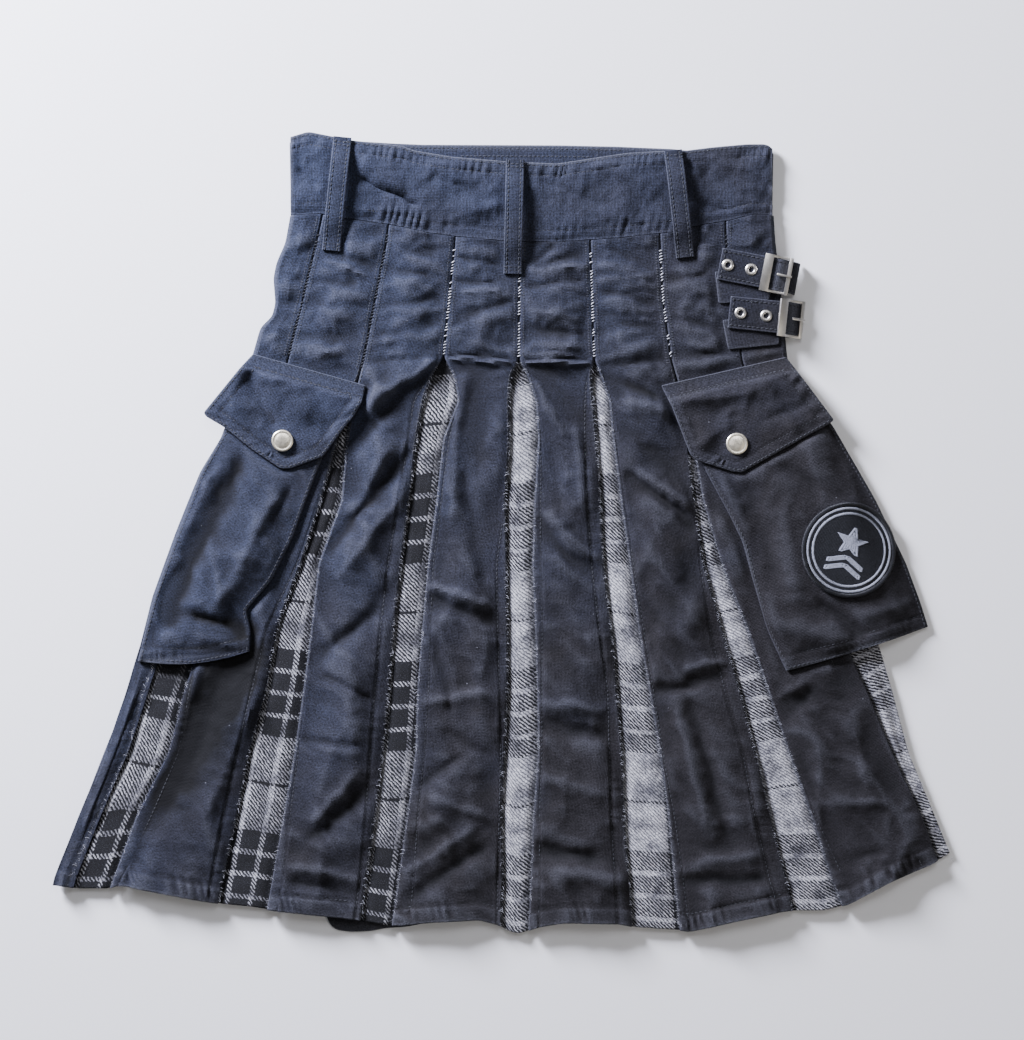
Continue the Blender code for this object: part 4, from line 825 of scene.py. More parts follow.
def make_mesh(name, vertices, faces, finish, uv=None, wear_and_shade=None, sharp=40):
    """An object at the origin from points in mm, with its cloth coordinates and its wear, painted shade
    and painted light.
    """
    mesh = bpy.data.meshes.new(name)
    faces = [tuple(int(i) for i in face) for face in faces] if isinstance(faces, list) else faces
    mesh.from_pydata(np.asarray(vertices) * MM, [], faces if isinstance(faces, list)
                     else faces.tolist())
    if uv is not None:
        layer = mesh.uv_layers.new(name="cloth")
        corners = np.zeros(len(mesh.loops), np.int32)
        mesh.loops.foreach_get("vertex_index", corners)
        layer.data.foreach_set("uv", (np.asarray(uv)[corners] * MM).ravel())
    if wear_and_shade is not None:
        attribute = mesh.attributes.new("wear_and_shade", "FLOAT", "POINT")
        attribute.data.foreach_set("value", np.asarray(wear_and_shade, np.float32))
    mesh.materials.append(finish)
    mesh.shade_smooth()
    if sharp:
        mesh.set_sharp_from_angle(angle=math.radians(sharp))
    obj = bpy.data.objects.new(name, mesh)
    bpy.context.scene.collection.objects.link(obj)
    return obj


def wear_and_hollow_shade(z):
    """Wear on what stands up from the cloth round it, and painted shade in what lies lower."""
    soft = z.copy()
    for _ in range(14):
        soft = (np.roll(soft, 1, 0) + np.roll(soft, -1, 0) + 2 * soft) / 4
        soft[:, 1:-1] = (soft[:, :-2] + soft[:, 2:] + 2 * soft[:, 1:-1]) / 4
    return np.clip((z - soft) * 0.32, -0.35, 0.25)


def grid_normals(grid):
    """Unit normals of a grid of points whose rows go down and whose columns go right."""
    down = np.gradient(grid, axis=0)
    right = np.gradient(grid, axis=1)
    normal = np.cross(down, right)
    return normal / np.maximum(np.linalg.norm(normal, axis=2, keepdims=True), 1e-9)


# Shares of the full thickness at the first rows or columns in from a plain rim
RIM = [0.45, 0.85]


def shell(name, grid, thickness, finish, uv, wear_and_shade=None, rim_rows=True, rim_columns=False):
    """A closed wall of one thickness round a grid of middle points, with softened rims."""
    rows, columns = grid.shape[:2]
    half = np.full((rows, columns), thickness / 2)
    for index, share in enumerate(RIM):
        if rim_rows:
            half[index] *= share
            half[-1 - index] *= share
        if rim_columns:
            half[:, index] *= share
            half[:, -1 - index] *= share
    normal = grid_normals(grid) * half[:, :, None]
    vertices = np.concatenate([(grid + normal).reshape(-1, 3), (grid - normal).reshape(-1, 3)])
    index = np.arange(rows * columns).reshape(rows, columns)
    upper = np.stack([index[:-1, :-1], index[1:, :-1], index[1:, 1:], index[:-1, 1:]], -1)
    upper = upper.reshape(-1, 4)
    lower = upper[:, ::-1] + rows * columns
    ring = np.concatenate([index[0, :-1], index[:-1, -1], index[-1, :0:-1], index[:0:-1, 0]])
    after = np.roll(ring, -1)
    other = rows * columns
    rim = np.stack([ring, after, after + other, ring + other], -1)
    uv = np.asarray(uv).reshape(-1, 2)
    wear_and_shade = np.zeros(rows * columns) if wear_and_shade is None else np.asarray(wear_and_shade).ravel()
    return make_mesh(name, vertices, np.concatenate([upper, lower, rim]), finish,
                     np.concatenate([uv, uv]), np.concatenate([wear_and_shade, wear_and_shade]))


def rows_near_rim(count):
    """Shares down a piece, with the first and last rows close to its ends."""
    shares = np.linspace(0, 1, count)
    first = shares[1]
    return np.concatenate([[0, 0.12 * first, 0.5 * first], shares[1:-1],
                           [1 - 0.5 * first, 1 - 0.12 * first, 1]])


SOFT = []


def dress(obj, node):
    """Puts a piece on the body, and hides the solid in whose place it stands, if it has one."""
    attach(obj, BODY)
    if node:
        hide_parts(node)
    return obj


def cut_of(grid):
    """The width, length and area of the cloth in a grid of middle points, in metres."""
    width = along_distance(grid)[:, -1].max() * MM
    length = along_distance(grid.transpose(1, 0, 2))[:, -1].max() * MM
    first = grid[1:, 1:] - grid[:-1, :-1]
    second = grid[1:, :-1] - grid[:-1, 1:]
    area = np.linalg.norm(np.cross(first, second), axis=2).sum() / 2 * MM * MM
    flat = (round(float(width), 4), round(float(length), 4))
    return flat, round(min(float(area), 0.999 * flat[0] * flat[1]), 6)


def turned_edge(edge, inward, low_z, high_z):
    """Columns of an edge that is folded under, from its allowance up to the face."""
    radius = (high_z - low_z) / 2
    middle = (high_z + low_z) / 2
    centre = edge + inward * (CANVAS / 2 + radius)
    columns = [(centre + inward * ALLOWANCE, low_z), (centre + inward * 1.5, low_z)]
    for angle in np.radians([-90, -126, -162, 162, 126]):
        columns.append((centre - inward * -radius * np.cos(angle), middle + radius * np.sin(angle)))
    return columns, centre


def side_round(edge, inward, foot_z, high_z, radius=3.2):
    """Columns of a side that comes down to the apron, from its foot up to the face."""
    wall = edge + inward * CANVAS / 2
    columns = [(wall, foot_z), (wall, (foot_z + high_z - radius) / 2)]
    for angle in np.radians([0, 24, 48, 70]):
        columns.append((wall + inward * radius * (1 - np.cos(angle)),
                        high_z - radius + radius * np.sin(angle)))
    return columns, wall + inward * radius


def level_y(x, level):
    """The y of a level between the waist seam and the hem."""
    top = waist_seam(x) - GAP
    return top + (hem(x) - top) * level


def on_level(edge, level):
    """Where a line down the kilt, x as a function of y, crosses each level."""
    y = level_y(np.zeros_like(level), level)
    for _ in range(14):
        x = edge(y)
        y = level_y(x, level)
    return x


PANEL_ROWS = 240
FACE_COLUMNS = 26
BESIDE_BAND = [0.9, 1.9, 3.2, 5.0, 7.0]


def make_panel(number):
    """A canvas panel: turned edges, stitched bands, folds and hem."""
    levels = rows_near_rim(PANEL_ROWS)
    if number == 7:
        x = float(WOOL_RIGHT[7](LAST_PANEL_END)) + 5
        top = float(waist_seam(x))
        levels = levels * (top - LAST_PANEL_END) / (top - float(hem(x)))
    left = on_level(lambda y: panel_edges(number, y)[0], levels)
    right = on_level(lambda y: panel_edges(number, y)[1], levels)
    band_left = panel_edges(number, level_y(left, levels))[2]
    band_right = panel_edges(number, level_y(right, levels))[3]
    foot = APRON + GAP
    if number == 0:
        left_columns, start = side_round(left, 1, foot, FACE_Z)
    else:
        left_columns, start = turned_edge(left, 1, ALLOWANCE_Z, FACE_Z)
    if number == 7:
        right_columns, end = side_round(right, -1, foot, FACE_Z)
    else:
        right_columns, end = turned_edge(right, -1, ALLOWANCE_Z, FACE_Z)
    room = (end - start) / 2 * 0.86
    near = np.minimum(np.maximum(band_left, 0.8), room - 8)
    far = np.minimum(np.maximum(band_right, 0.8), room - 8)
    knots_left = [start + near * share for share in (0, 0.3, 0.6, 0.85, 1)]
    knots_left += [start + near + step for step in BESIDE_BAND]
    knots_right = [end - far * share for share in (0, 0.3, 0.6, 0.85, 1)]
    knots_right += [end - far - step for step in BESIDE_BAND]
    middle = [knots_left[-1] + (knots_right[-1] - knots_left[-1]) * share
              for share in np.linspace(0, 1, FACE_COLUMNS)[1:-1]]
    face_x = np.stack(knots_left + middle + knots_right[::-1], axis=1)
    face_y = level_y(face_x, levels[:, None])
    face_z = panel_z(number, face_x, face_y)
    columns = []
    for group, edge_z in ((left_columns, face_z[:, 0]), (right_columns, face_z[:, -1])):
        made = []
        for x, z in group:
            share = (np.asarray(z) - foot) / (FACE_Z - foot)
            z = z + (edge_z - FACE_Z) * np.clip(share, 0, 1) ** 2
            made.append(np.stack([x + 0 * levels, level_y(x, levels), z + 0 * levels], axis=-1))
        columns.append(made)
    face = np.stack([face_x, face_y, face_z], axis=-1)
    grid = np.concatenate([np.stack(columns[0], 1), face, np.stack(columns[1][::-1], 1)], axis=1)
    uv = np.stack([along_distance(grid), along_distance(grid.transpose(1, 0, 2)).T], axis=-1)
    y = grid[:, :, 1]
    x = grid[:, :, 0]
    wear_and_shade = 0.5 * bump(x - left[:, None], 1.4) + 0.5 * bump(right[:, None] - x, 1.4)
    # Painted shade: darker lines in the grooves at the inner seams of the stitched bands
    wear_and_shade -= 0.25 * bump(x - (left + band_left)[:, None] - 0.6, 1.1) * (band_left > 3)[:, None]
    wear_and_shade -= 0.25 * bump((right - band_right)[:, None] - x - 0.6, 1.1) * (band_right > 3)[:, None]
    up = y - hem(x)
    # Lighter at the hem's edge as wear; a darker line in the groove at the hem stitching as painted shade
    wear_and_shade += 0.6 * bump(up, 1.3) + 0.10 * bump(up - 8, 7) - 0.3 * bump(up - 14.6, 1.2)
    wear_and_shade = wear_and_shade * (1 - 0.6 * lumps(x, y, 9, 60 + number) ** 2) * (1 - 0.75 * ease((y - 125) / 15))
    # Lighter on ridges as wear; darker in hollows, below the left pocket and in the deeper folds as
    # painted shade
    wear_and_shade += wear_and_hollow_shade(grid[:, :, 2]) - folds_at(x, y, PAINTED_SHADE_AREAS) / FOLD_DEPTH
    if number == 0:
        wear_and_shade *= ease((x - left[:, None]) / 3)
    obj = shell(f"panel_{number}_cloth", grid, CANVAS, BLACK_CANVAS, uv, wear_and_shade)
    flat, area = cut_of(grid)
    return dress(obj, f"panel_{number}")


# Where each strip's middle lies in the plaid's repeat: the first three are cut from its dark
# column, with pale lines down them, and the others from its pale one
PLAID_MIDDLE = {1: 104.0, 2: 107.0, 3: 105.0, 4: 18.0, 5: 22.0, 6: 57.0, 7: 19.0}
# How far over the hem the plaid's repeat starts
PLAID_START = 61.0


def insert_edges(number, level):
    """The x of a wool strip's two edges at each level, under the panels."""
    left = on_level(WOOL_LEFT[number], level) - WOOL_MARGIN
    right = on_level(WOOL_RIGHT[number], level) + WOOL_MARGIN
    if number == 7:
        side = on_level(right_side, level)
        y = level_y(side, level)
        share = ease((LAST_PANEL_END - 1 - y) / (LAST_PANEL_END - WOOL_SIDE_FROM))
        right = right + (side - right) * share
    return left, right


def make_insert(number):
    """A strip of plaid wool that lies under the edges of two panels."""
    levels = rows_near_rim(210)
    left, right = insert_edges(number, levels)
    shares = np.concatenate([[0, 0.03], np.linspace(0.08, 0.92, 11), [0.97, 1]])
    x = left[:, None] + (right - left)[:, None] * shares
    y = level_y(x, levels[:, None])
    inside = np.minimum(x - left[:, None], right[:, None] - x) - WOOL_MARGIN
    swell = ease(inside / 6) * (1.9 + 0.6 * lumps(x / 2, y, 15, 70 + number))
    swell = swell * ease((130 - y) / 45)
    z = WOOL_Z + swell + crumple(x, y, 4.5, 350) * 0.22 * ease(inside / 3)
    grid = np.stack([x, y, z], axis=-1)
    middle = (left + right) / 2
    across = x - middle[:, None] + PLAID_MIDDLE[number]
    uv = np.stack([across, y - hem(x) - PLAID_START + 3 * PLAID], axis=-1)
    edge = np.minimum(x - WOOL_LEFT[number](y), WOOL_RIGHT[number](y) - x)
    if number == 7:
        edge = np.where(y < LAST_PANEL_END, x - WOOL_LEFT[number](y), edge)
    # Painted shade: the wool is darker along the panels' edges, towards the top of its opening and, on
    # the first strip, under the left pocket; the first three strips are also a little darker overall
    shade = 0.8 * ease(1 - (edge + 0.6 * lumps(x, y, 5, 320)) / 3.4) + 0.45 * ease((y - 108) / 22)
    if number == 1:
        shade += 0.7 * ease((y + 136) / 20)
    if number <= 3:
        shade += 0.13
    obj = shell(f"insert_{number}_cloth", grid, WOOL, PLAID_WOOL, uv, np.clip(shade, 0, 0.9),
                rim_columns=True)
    flat, area = cut_of(grid)
    return dress(obj, f"insert_{number}")


def band_z(x, y):
    """The height of the middle of the waistband."""
    left, right = WAIST_SEAM[0][0], WAIST_SEAM[-1][0]
    top, foot = band_top(x), waist_seam(x)
    share = np.clip((top - y) / (top - foot), 0, 1)
    inside = ease(np.minimum(x - left, right - x) / 25)
    base = BAND_LOW_Z + (SKIRT_TOP - BAND / 2 - BAND_LOW_Z) * share * inside
    from_top, from_foot = top - y, y - foot
    lift = folds_at(x, y, BAND_FOLDS) + crumple(x / 1.6, y, 17, 260) * 2.7
    lift += crumple(x, y, 7, 270) * 0.7 + crumple(x, y, 3.2, 250) * 0.15
    lift = lift * ease(from_top / 9) * ease(from_foot / 9)
    lift += gathers(x + 0.2 * from_top, 6.6, 92) * 0.5 * bump(from_top - 7, 6)
    lift += gathers(x - 0.25 * from_foot, 7.4, 95) * 0.65 * bump(from_foot - 8, 8)
    lift -= 0.5 * (bump(from_top - 10, 0.9) + bump(from_foot - 9, 0.9) + bump(from_foot - 2, 0.8))
    near_loop = np.zeros_like(x)
    for foot_x, foot_y, top_x, top_y in BELT_LOOPS.values():
        middle = foot_x + (top_x - foot_x) * (y - foot_y) / (top_y - foot_y)
        near_loop = np.maximum(near_loop, ease(1 - (np.abs(x - middle) - 7) / 8))
    return base + np.where(lift > 0, lift * (1 - 0.8 * near_loop), lift)


def make_waistband():
    """The doubled band over the panels, with its top-stitched edges."""
    left, right = WAIST_SEAM[0][0], WAIST_SEAM[-1][0]
    columns = left + (right - left) * rows_near_rim(330)
    shares = rows_near_rim(46)[:, None]
    x = columns[None, :] + 0 * shares
    top, foot = band_top(x), waist_seam(x)
    y = top + (foot - top) * shares
    grid = np.stack([x, y, band_z(x, y)], axis=-1)
    uv = np.stack([y, x], axis=-1)
    wear_and_shade = 0.9 * bump(top - y, 1.1) + 0.12 * bump(y - foot, 1.0) + 0.06 * bump(top - y - 5, 5)
    wear_and_shade += 0.5 * bump(x - left, 2) + 0.5 * bump(right - x, 2)
    obj = shell("waistband_cloth", grid, BAND, BLACK_CANVAS, uv, wear_and_shade, rim_columns=True)
    flat, area = cut_of(grid)
    return dress(obj, "waistband")


def rounded(outline, reach, spacing):
    """An outline with its corners rounded and its points evenly spaced."""
    points = np.array(outline + outline[:1], float)
    length = along_distance(points)
    count = int(length[-1] / spacing)
    at = np.linspace(0, length[-1], count, endpoint=False)
    x, y = np.interp(at, length, points[:, 0]), np.interp(at, length, points[:, 1])
    half = max(int(reach / spacing), 1)
    window = np.hanning(2 * half + 3)[1:-1]
    window /= window.sum()
    soft = []
    for value in (x, y):
        padded = np.concatenate([value[-half:], value, value[:half]])
        soft.append(np.convolve(padded, window, "valid"))
    return np.stack(soft, axis=1)


def inset(outline, depth):
    """An outline moved in, counterclockwise from above."""
    along = np.roll(outline, -1, axis=0) - np.roll(outline, 1, axis=0)
    along /= np.linalg.norm(along, axis=1)[:, None]
    return outline + np.stack([-along[:, 1], along[:, 0]], axis=1) * depth


def cut_sheet(name, outline, height, thickness, finish, spacing=2.2, corner=2.0, grain=0.0,
              wear_and_shade_at=None, pieces_of_edge=1.5):
    """A cut piece of cloth on a height z(x, y), with a rounded rim. The outline may turn either way."""
    points = np.array(outline, float)
    turn = np.sum(points[:, 0] * np.roll(points[:, 1], -1) - points[:, 1] * np.roll(points[:, 0], -1))
    if turn < 0:
        outline = outline[::-1]
    edge = rounded(outline, corner, pieces_of_edge)
    rings = [edge]
    shares = [0.0]
    for depth, share in ((0.16, 0.6), (0.55, 0.92), (1.2, 1.0)):
        rings.append(inset(edge, depth * thickness / 2))
        shares.append(share)
    low, high = edge.min(0), edge.max(0)
    rows = np.arange(low[1] + spacing / 2, high[1], spacing * 0.866)
    inner = []
    for number, y in enumerate(rows):
        x = np.arange(low[0] + (number % 2) * spacing / 2, high[0], spacing)
        inner.append(np.stack([x, 0 * x + y], axis=1))
    inner = np.concatenate(inner)
    away = distance_outside(inner[:, 0], inner[:, 1], [tuple(point) for point in edge])
    inner = inner[away < -(0.6 * thickness + 0.5 * spacing)]
    flat_points = np.concatenate(rings + [inner])
    share = np.concatenate([np.full(len(ring), s) for ring, s in zip(rings, shares)]
                           + [np.ones(len(inner))])
    count = len(edge)
    border = [(index, (index + 1) % count) for index in range(count)]
    found = delaunay_2d_cdt([Vector(point) for point in flat_points], border, [], 1, 1e-6)
    triangles = np.array([face for face in found[2] if len(face) == 3])
    source = np.array([ids[0] for ids in found[3]])
    flat_points, share = flat_points[source], share[source]
    x, y = flat_points[:, 0], flat_points[:, 1]
    z = height(x, y)
    half = share * thickness / 2
    total = len(x)
    rim = share == 0
    below = np.where(rim, np.arange(total), np.arange(total) + total)
    corner_a, corner_b, corner_c = (flat_points[triangles[:, i]] for i in range(3))
    area = ((corner_b - corner_a)[:, 0] * (corner_c - corner_a)[:, 1]
            - (corner_b - corner_a)[:, 1] * (corner_c - corner_a)[:, 0])
    triangles[area < 0] = triangles[area < 0][:, ::-1]
    vertices = np.concatenate([np.stack([x, y, z + half], 1), np.stack([x, y, z - half], 1)])
    faces = np.concatenate([triangles, below[triangles[:, ::-1]]])
    used = np.unique(faces)
    renumber = np.zeros(len(vertices), int)
    renumber[used] = np.arange(len(used))
    cos, sin = math.cos(math.radians(grain)), math.sin(math.radians(grain))
    uv = np.stack([x * cos + y * sin, y * cos - x * sin], axis=1)
    wear_and_shade = np.zeros(total) if wear_and_shade_at is None else wear_and_shade_at(x, y)
    obj = make_mesh(name, vertices[used], renumber[faces], finish,
                    np.concatenate([uv, uv])[used], np.concatenate([wear_and_shade, wear_and_shade])[used])
    surface = np.abs(area).sum() / 2
    sides = (uv.max(0) - uv.min(0)) * MM
    flat = (round(float(sides[0]), 4), round(float(sides[1]), 4))
    return obj, flat, round(min(surface * MM * MM, 0.999 * flat[0] * flat[1]), 6)


def make_apron():
    """The plain side that the kilt lies on, flat underneath, with its own waistband."""
    right = [(x, y) for y, x in RIGHT_SIDE[::-1] if -250 < y < 251]
    top = [(x, y - GAP) for x, y in WAIST_SEAM[::-1]]
    left = [(x, y) for y, x in LEFT_SIDE if -276 < y < 251]

    def edge_wear(x, y):
        return 0.7 * bump(y - line(APRON_HEM)(x), 2)

    obj, flat, area = cut_sheet("apron_cloth", APRON_HEM + right + top + left,
                                lambda x, y: 0 * x + APRON / 2, APRON, BLACK_CANVAS, 9.0, 3.0,
                                wear_and_shade_at=edge_wear, pieces_of_edge=3.0)
    dress(obj, "apron")
    seam = [(x, y) for x, y in WAIST_SEAM]
    upper = [(x, y) for x, y in APRON_BAND_TOP[::-1]]

    def band_height(x, y):
        return APRON_BAND / 2 + 0 * x

    def band_wear(x, y):
        return 0.8 * bump(apron_band_top(x) - y, 1.6)

    obj, flat, area = cut_sheet("apron_waistband_cloth", seam + upper, band_height, APRON_BAND,
                                BLACK_CANVAS, 5.0, 2.0, 90, band_wear)
    dress(obj, "apron_waistband")


def loop_profile():
    """The height of the middle of a belt loop by share of its run."""
    peak = SKIRT_TOP + SEAM_GAP + LOOP_ARCH + LOOP_CLOTH / 2
    foot = SEAT + LOOP_CLOTH / 2
    top = BAND_LOW_Z + BAND / 2 + GAP + SEAM_GAP + LOOP_CLOTH / 2
    return [(0.0, foot), (0.07, foot), (0.15, foot + 1.6), (0.24, peak - 0.7), (0.34, peak),
            (0.50, peak), (0.64, peak), (0.76, peak - 1.3), (0.88, top + 1.4), (0.95, top),
            (1.0, top)]


def make_belt_loop(name):
    """A folded strip sewn down at both ends, with stitching near both edges."""
    foot_x, foot_y, top_x, top_y = BELT_LOOPS[name]
    run = math.hypot(top_x - foot_x, top_y - foot_y)
    ux, uy = (top_x - foot_x) / run, (top_y - foot_y) / run
    height = line([(share * run, z) for share, z in loop_profile()], 4)
    along = (run * rows_near_rim(56))[::-1, None]
    across = ((rows_near_rim(12) - 0.5) * LOOP_WIDTH)[None, :]
    side = np.abs(across) - LOOP_WIDTH / 2
    z = height(along) + 0 * across
    z = z + lumps(across + 0 * along, along, 5.5, 101) * 0.28 - 0.35 * bump(side + 2.4, 0.7)
    z = z + 0.2 * np.cos(across / LOOP_WIDTH * math.pi) * np.ones_like(along)
    x = foot_x + ux * along + uy * across
    y = foot_y + uy * along - ux * across
    grid = np.stack([x, y, z], axis=-1)
    uv = np.stack([across + 0 * along, along + 0 * across], axis=-1)
    wear_and_shade = 0.5 * bump(side, 0.9) + 0.3 * bump(along, 1.5) - 0.12 + 0 * z
    obj = shell(name + "_cloth", grid, LOOP_CLOTH, BLACK_CANVAS, uv, wear_and_shade, rim_columns=True)
    flat, area = cut_of(grid)
    dress(obj, name)
    paths = []
    for side in (-1, 1):
        at = np.arange(1.5, run - 1.5, 2.0)
        offset = side * (LOOP_WIDTH / 2 - 2.4)
        paths.append(np.stack([foot_x + ux * at + uy * offset, foot_y + uy * at - ux * offset,
                               height(at) + LOOP_CLOTH / 2 + 0.05], axis=1))
    for at in (3.0, 5.5, run - 4.0, run - 6.5):
        offset = np.linspace(-LOOP_WIDTH / 2 + 1.5, LOOP_WIDTH / 2 - 1.5, 8)
        paths.append(np.stack([foot_x + ux * at + uy * offset, foot_y + uy * at - ux * offset,
                               height(at) + LOOP_CLOTH / 2 + 0.1 + 0 * offset], axis=1))
    return paths


def pocket_tables(rows):
    """Each column of a pocket's rows as a function of the share of the way down."""
    middle = np.array([((row.x_left + row.x_right) / 2, (row.y_left + row.y_right) / 2)
                       for row in rows])
    length = along_distance(middle)
    shares = length / length[-1]
    scale = 200.0
    return [line([(share * scale, row[column]) for share, row in zip(shares, rows)], 5)
            for column in range(4)], scale, shares


def pocket_relief(x, y):
    lift = folds_at(x, y, POCKET_FOLDS) + crumple(x + 0.5 * y, y / 1.5, 21, 280) * 2.2
    return lift + crumple(x, y, 8, 290) * 0.5 + crumple(x, y, 3.2, 250) * 0.14


RIGHT_OUTER_X = line([(row.y_right, row.x_right) for row in POCKET_RIGHT], 4)
RIGHT_OUTER_Z = line([(row.y_right, fold[0]) for row, fold in zip(POCKET_RIGHT, OUTER_FOLD)], 4)
POCKET_HEM = {
    "left": line([(-295, -102.5), (-270, -103.6), (-245, -104.6), (-222, -100), (-198, -94)], 6),
    "right": line([(220, -111), (270, -98.6), (300, -88), (342, -75)], 4),
}


def pocket_z(side, x, y):
    """The height of the middle of a pocket's front."""
    high = np.full(np.shape(x), POCKET_FRONT_Z)
    if side == "right":
        edge = right_side(y) + 1.5
        fall = ease((x - edge) / np.maximum(RIGHT_OUTER_X(y) - 2 - edge, 1))
        high = high + (RIGHT_OUTER_Z(y) - POCKET_FRONT_Z) * fall
    rows = POCKET_LEFT if side == "left" else POCKET_RIGHT
    inside = -distance_outside(x, y, outline_of(rows))
    flap = FLAP_LEFT if side == "left" else FLAP_RIGHT
    free = ease(distance_outside(x, y, flap) / 8 + 0.2)
    lift = pocket_relief(x, y) * ease(inside / 9)
    if side == "right":
        lift = lift * (1 - 0.9 * ease(1.5 - np.hypot(x - BADGE_CENTRE[0], y - BADGE_CENTRE[1])
                                      / BADGE_RADIUS))
    up = y - POCKET_HEM[side](x)
    lift = lift + gathers(x, 5.6, 112) * 0.5 * bump(up - 6, 5) - 0.55 * bump(up - 12, 0.9)
    lift = lift + 0.4 * ease((12.5 - up) / 1.5) + POCKET_SWELL * ease((inside - 3) / 26)
    lift = over(lift * free, -1.3, 0.5) - 0.4 * bump(inside, 1.2)
    return high + lift


def make_pocket(side):
    """A cargo pocket: a front with its bellows folded under at the sides."""
    rows = POCKET_LEFT if side == "left" else POCKET_RIGHT
    tables, scale, row_shares = pocket_tables(rows)
    down = rows_near_rim(110)
    x_left, y_left, x_right, y_right = (table(down * scale) for table in tables)
    width = np.hypot(x_right - x_left, y_right - y_left)
    if side == "left":
        back = np.full_like(down, POCKET_BACK_Z)
        front = np.full_like(down, POCKET_FRONT_Z)
    else:
        folds = np.array(OUTER_FOLD)
        front = np.interp(down, row_shares, folds[:, 0])
        back = np.interp(down, row_shares, folds[:, 1])
    radius_left = (POCKET_FRONT_Z - POCKET_BACK_Z) / 2
    radius_right = (front - back) / 2
    columns = []

    def place(across, z):
        share = across / width
        sag = POCKET_SAG[side] * ease((down - 0.8) / 0.2) * 4 * share * (1 - share)
        return np.stack([x_left + (x_right - x_left) * share,
                         y_left + (y_right - y_left) * share - sag, z], axis=-1)

    start = CANVAS / 2 + radius_left
    columns.append(place(0 * down + start + BELLOWS, 0 * down + POCKET_BACK_Z))
    columns.append(place(0 * down + start + 2, 0 * down + POCKET_BACK_Z))
    for angle in np.radians([-90, -126, -162, 162, 126]):
        columns.append(place(start + radius_left * np.cos(angle) + 0 * down,
                             POCKET_BACK_Z + radius_left * (1 + np.sin(angle)) + 0 * down))
    end = width - CANVAS / 2 - radius_right
    for share in np.concatenate([[0, 0.02, 0.045], np.linspace(0.07, 0.93, 44), [0.955, 0.98, 1]]):
        across = start + (end - start) * share
        spot = place(across, 0 * down)
        spot[:, 2] = pocket_z(side, spot[:, 0], spot[:, 1])
        last = ease((share - 0.955) / 0.045)
        spot[:, 2] = spot[:, 2] * (1 - last) + front * last
        columns.append(spot)
    for angle in np.radians([54, 18, -18, -54, -90]):
        columns.append(place(end + radius_right * np.cos(angle),
                             back + radius_right * (1 + np.sin(angle))))
    columns.append(place(np.maximum(end - 2, 1), back))
    columns.append(place(np.maximum(end - BELLOWS * 0.8, 1), back))
    grid = np.stack(columns, axis=1)
    uv = np.stack([along_distance(grid), along_distance(grid.transpose(1, 0, 2)).T], axis=-1)
    x, y = grid[:, :, 0], grid[:, :, 1]
    inside = -distance_outside(x, y, outline_of(rows))
    up = y - POCKET_HEM[side](x)
    wear_and_shade = 0.45 * bump(inside, 1.3) + 0.5 * bump(up, 1.4) + 0.08 * bump(up - 6, 6)
    # Lighter on ridges as wear; darker in hollows, in the groove at the hem stitching and in the deeper
    # folds as painted shade
    wear_and_shade += 0.8 * wear_and_hollow_shade(grid[:, :, 2]) - 0.3 * bump(up - 12.3, 1.2)
    wear_and_shade -= folds_at(x, y, PAINTED_SHADE_AREAS) / FOLD_DEPTH
    obj = shell(f"pocket_{side}_cloth", grid, CANVAS, BLACK_CANVAS, uv, wear_and_shade)
    flat, area = cut_of(grid)
    dress(obj, f"pocket_{side}")
    paths = []
    x = np.linspace(*((-287, -203) if side == "left" else (228, 333)), 60)
    y = POCKET_HEM[side](x) + 12
    paths.append(np.stack([x, y, pocket_z(side, x, y) + CANVAS / 2], axis=1))
    y = POCKET_HEM[side](x) + 2
    paths.append(np.stack([x, y, pocket_z(side, x, y) + CANVAS / 2], axis=1))
    for share in (2.4,):
        for edge_share in (0, 1):
            across = share if edge_share == 0 else width - share
            spot = place(across + 0 * down, 0 * down)[4:-4]
            spot[:, 2] = pocket_z(side, spot[:, 0], spot[:, 1]) + CANVAS / 2
            paths.append(spot)
    return paths


def flap_frame(side):
    outline = FLAP_LEFT if side == "left" else FLAP_RIGHT
    (ax, ay), (bx, by) = outline[:2]
    length = math.hypot(bx - ax, by - ay)
    return outline, ax, ay, (bx - ax) / length, (by - ay) / length, length


def flap_z(side, x, y):
    """The height of the middle of a flap, which rises from its seam over the pocket."""
    outline, ax, ay, ux, uy, _ = flap_frame(side)
    away = (x - ax) * uy - (y - ay) * ux
    inside = -distance_outside(x, y, outline)
    rise = ease((away - FLAP_SEWN_WIDTH) / (FLAP_RISEN_AT - FLAP_SEWN_WIDTH))
    lift = folds_at(x, y, FLAP_FOLDS) + crumple(x, y, 14, 300) * 1.4
    lift += crumple(x, y, 6, 310) * 0.3 + crumple(x, y, 3.2, 250) * 0.12
    snap = np.hypot(x - SNAPS[side][0], y - SNAPS[side][1])
    lift = lift * ease((inside - 3) / 8) * (1 - 0.9 * bump(snap, 13)) * ease((away - 10) / 6)
    angle = np.arctan2(y - SNAPS[side][1], x - SNAPS[side][0])
    lift = lift + gathers(angle * 30, 5.2, 121) * 0.8 * bump(inside - 5, 4) * ease((away - 12) / 5)
    lift = lift + gathers(x, 5.4, 122) * 0.3 * bump(away - 6, 4)
    lift = lift - 0.5 * (bump(inside - 9, 0.9) * ease((away - 12) / 3) + bump(away - 9.5, 0.9))
    lift = lift - 0.45 * bump(away - 2, 0.8)
    lift = lift + 0.35 * ease((9.5 - inside) / 1.5) * ease((away - 14) / 4)
    return FLAP_LOW_Z + (FLAP_HIGH_Z - FLAP_LOW_Z) * rise + lift


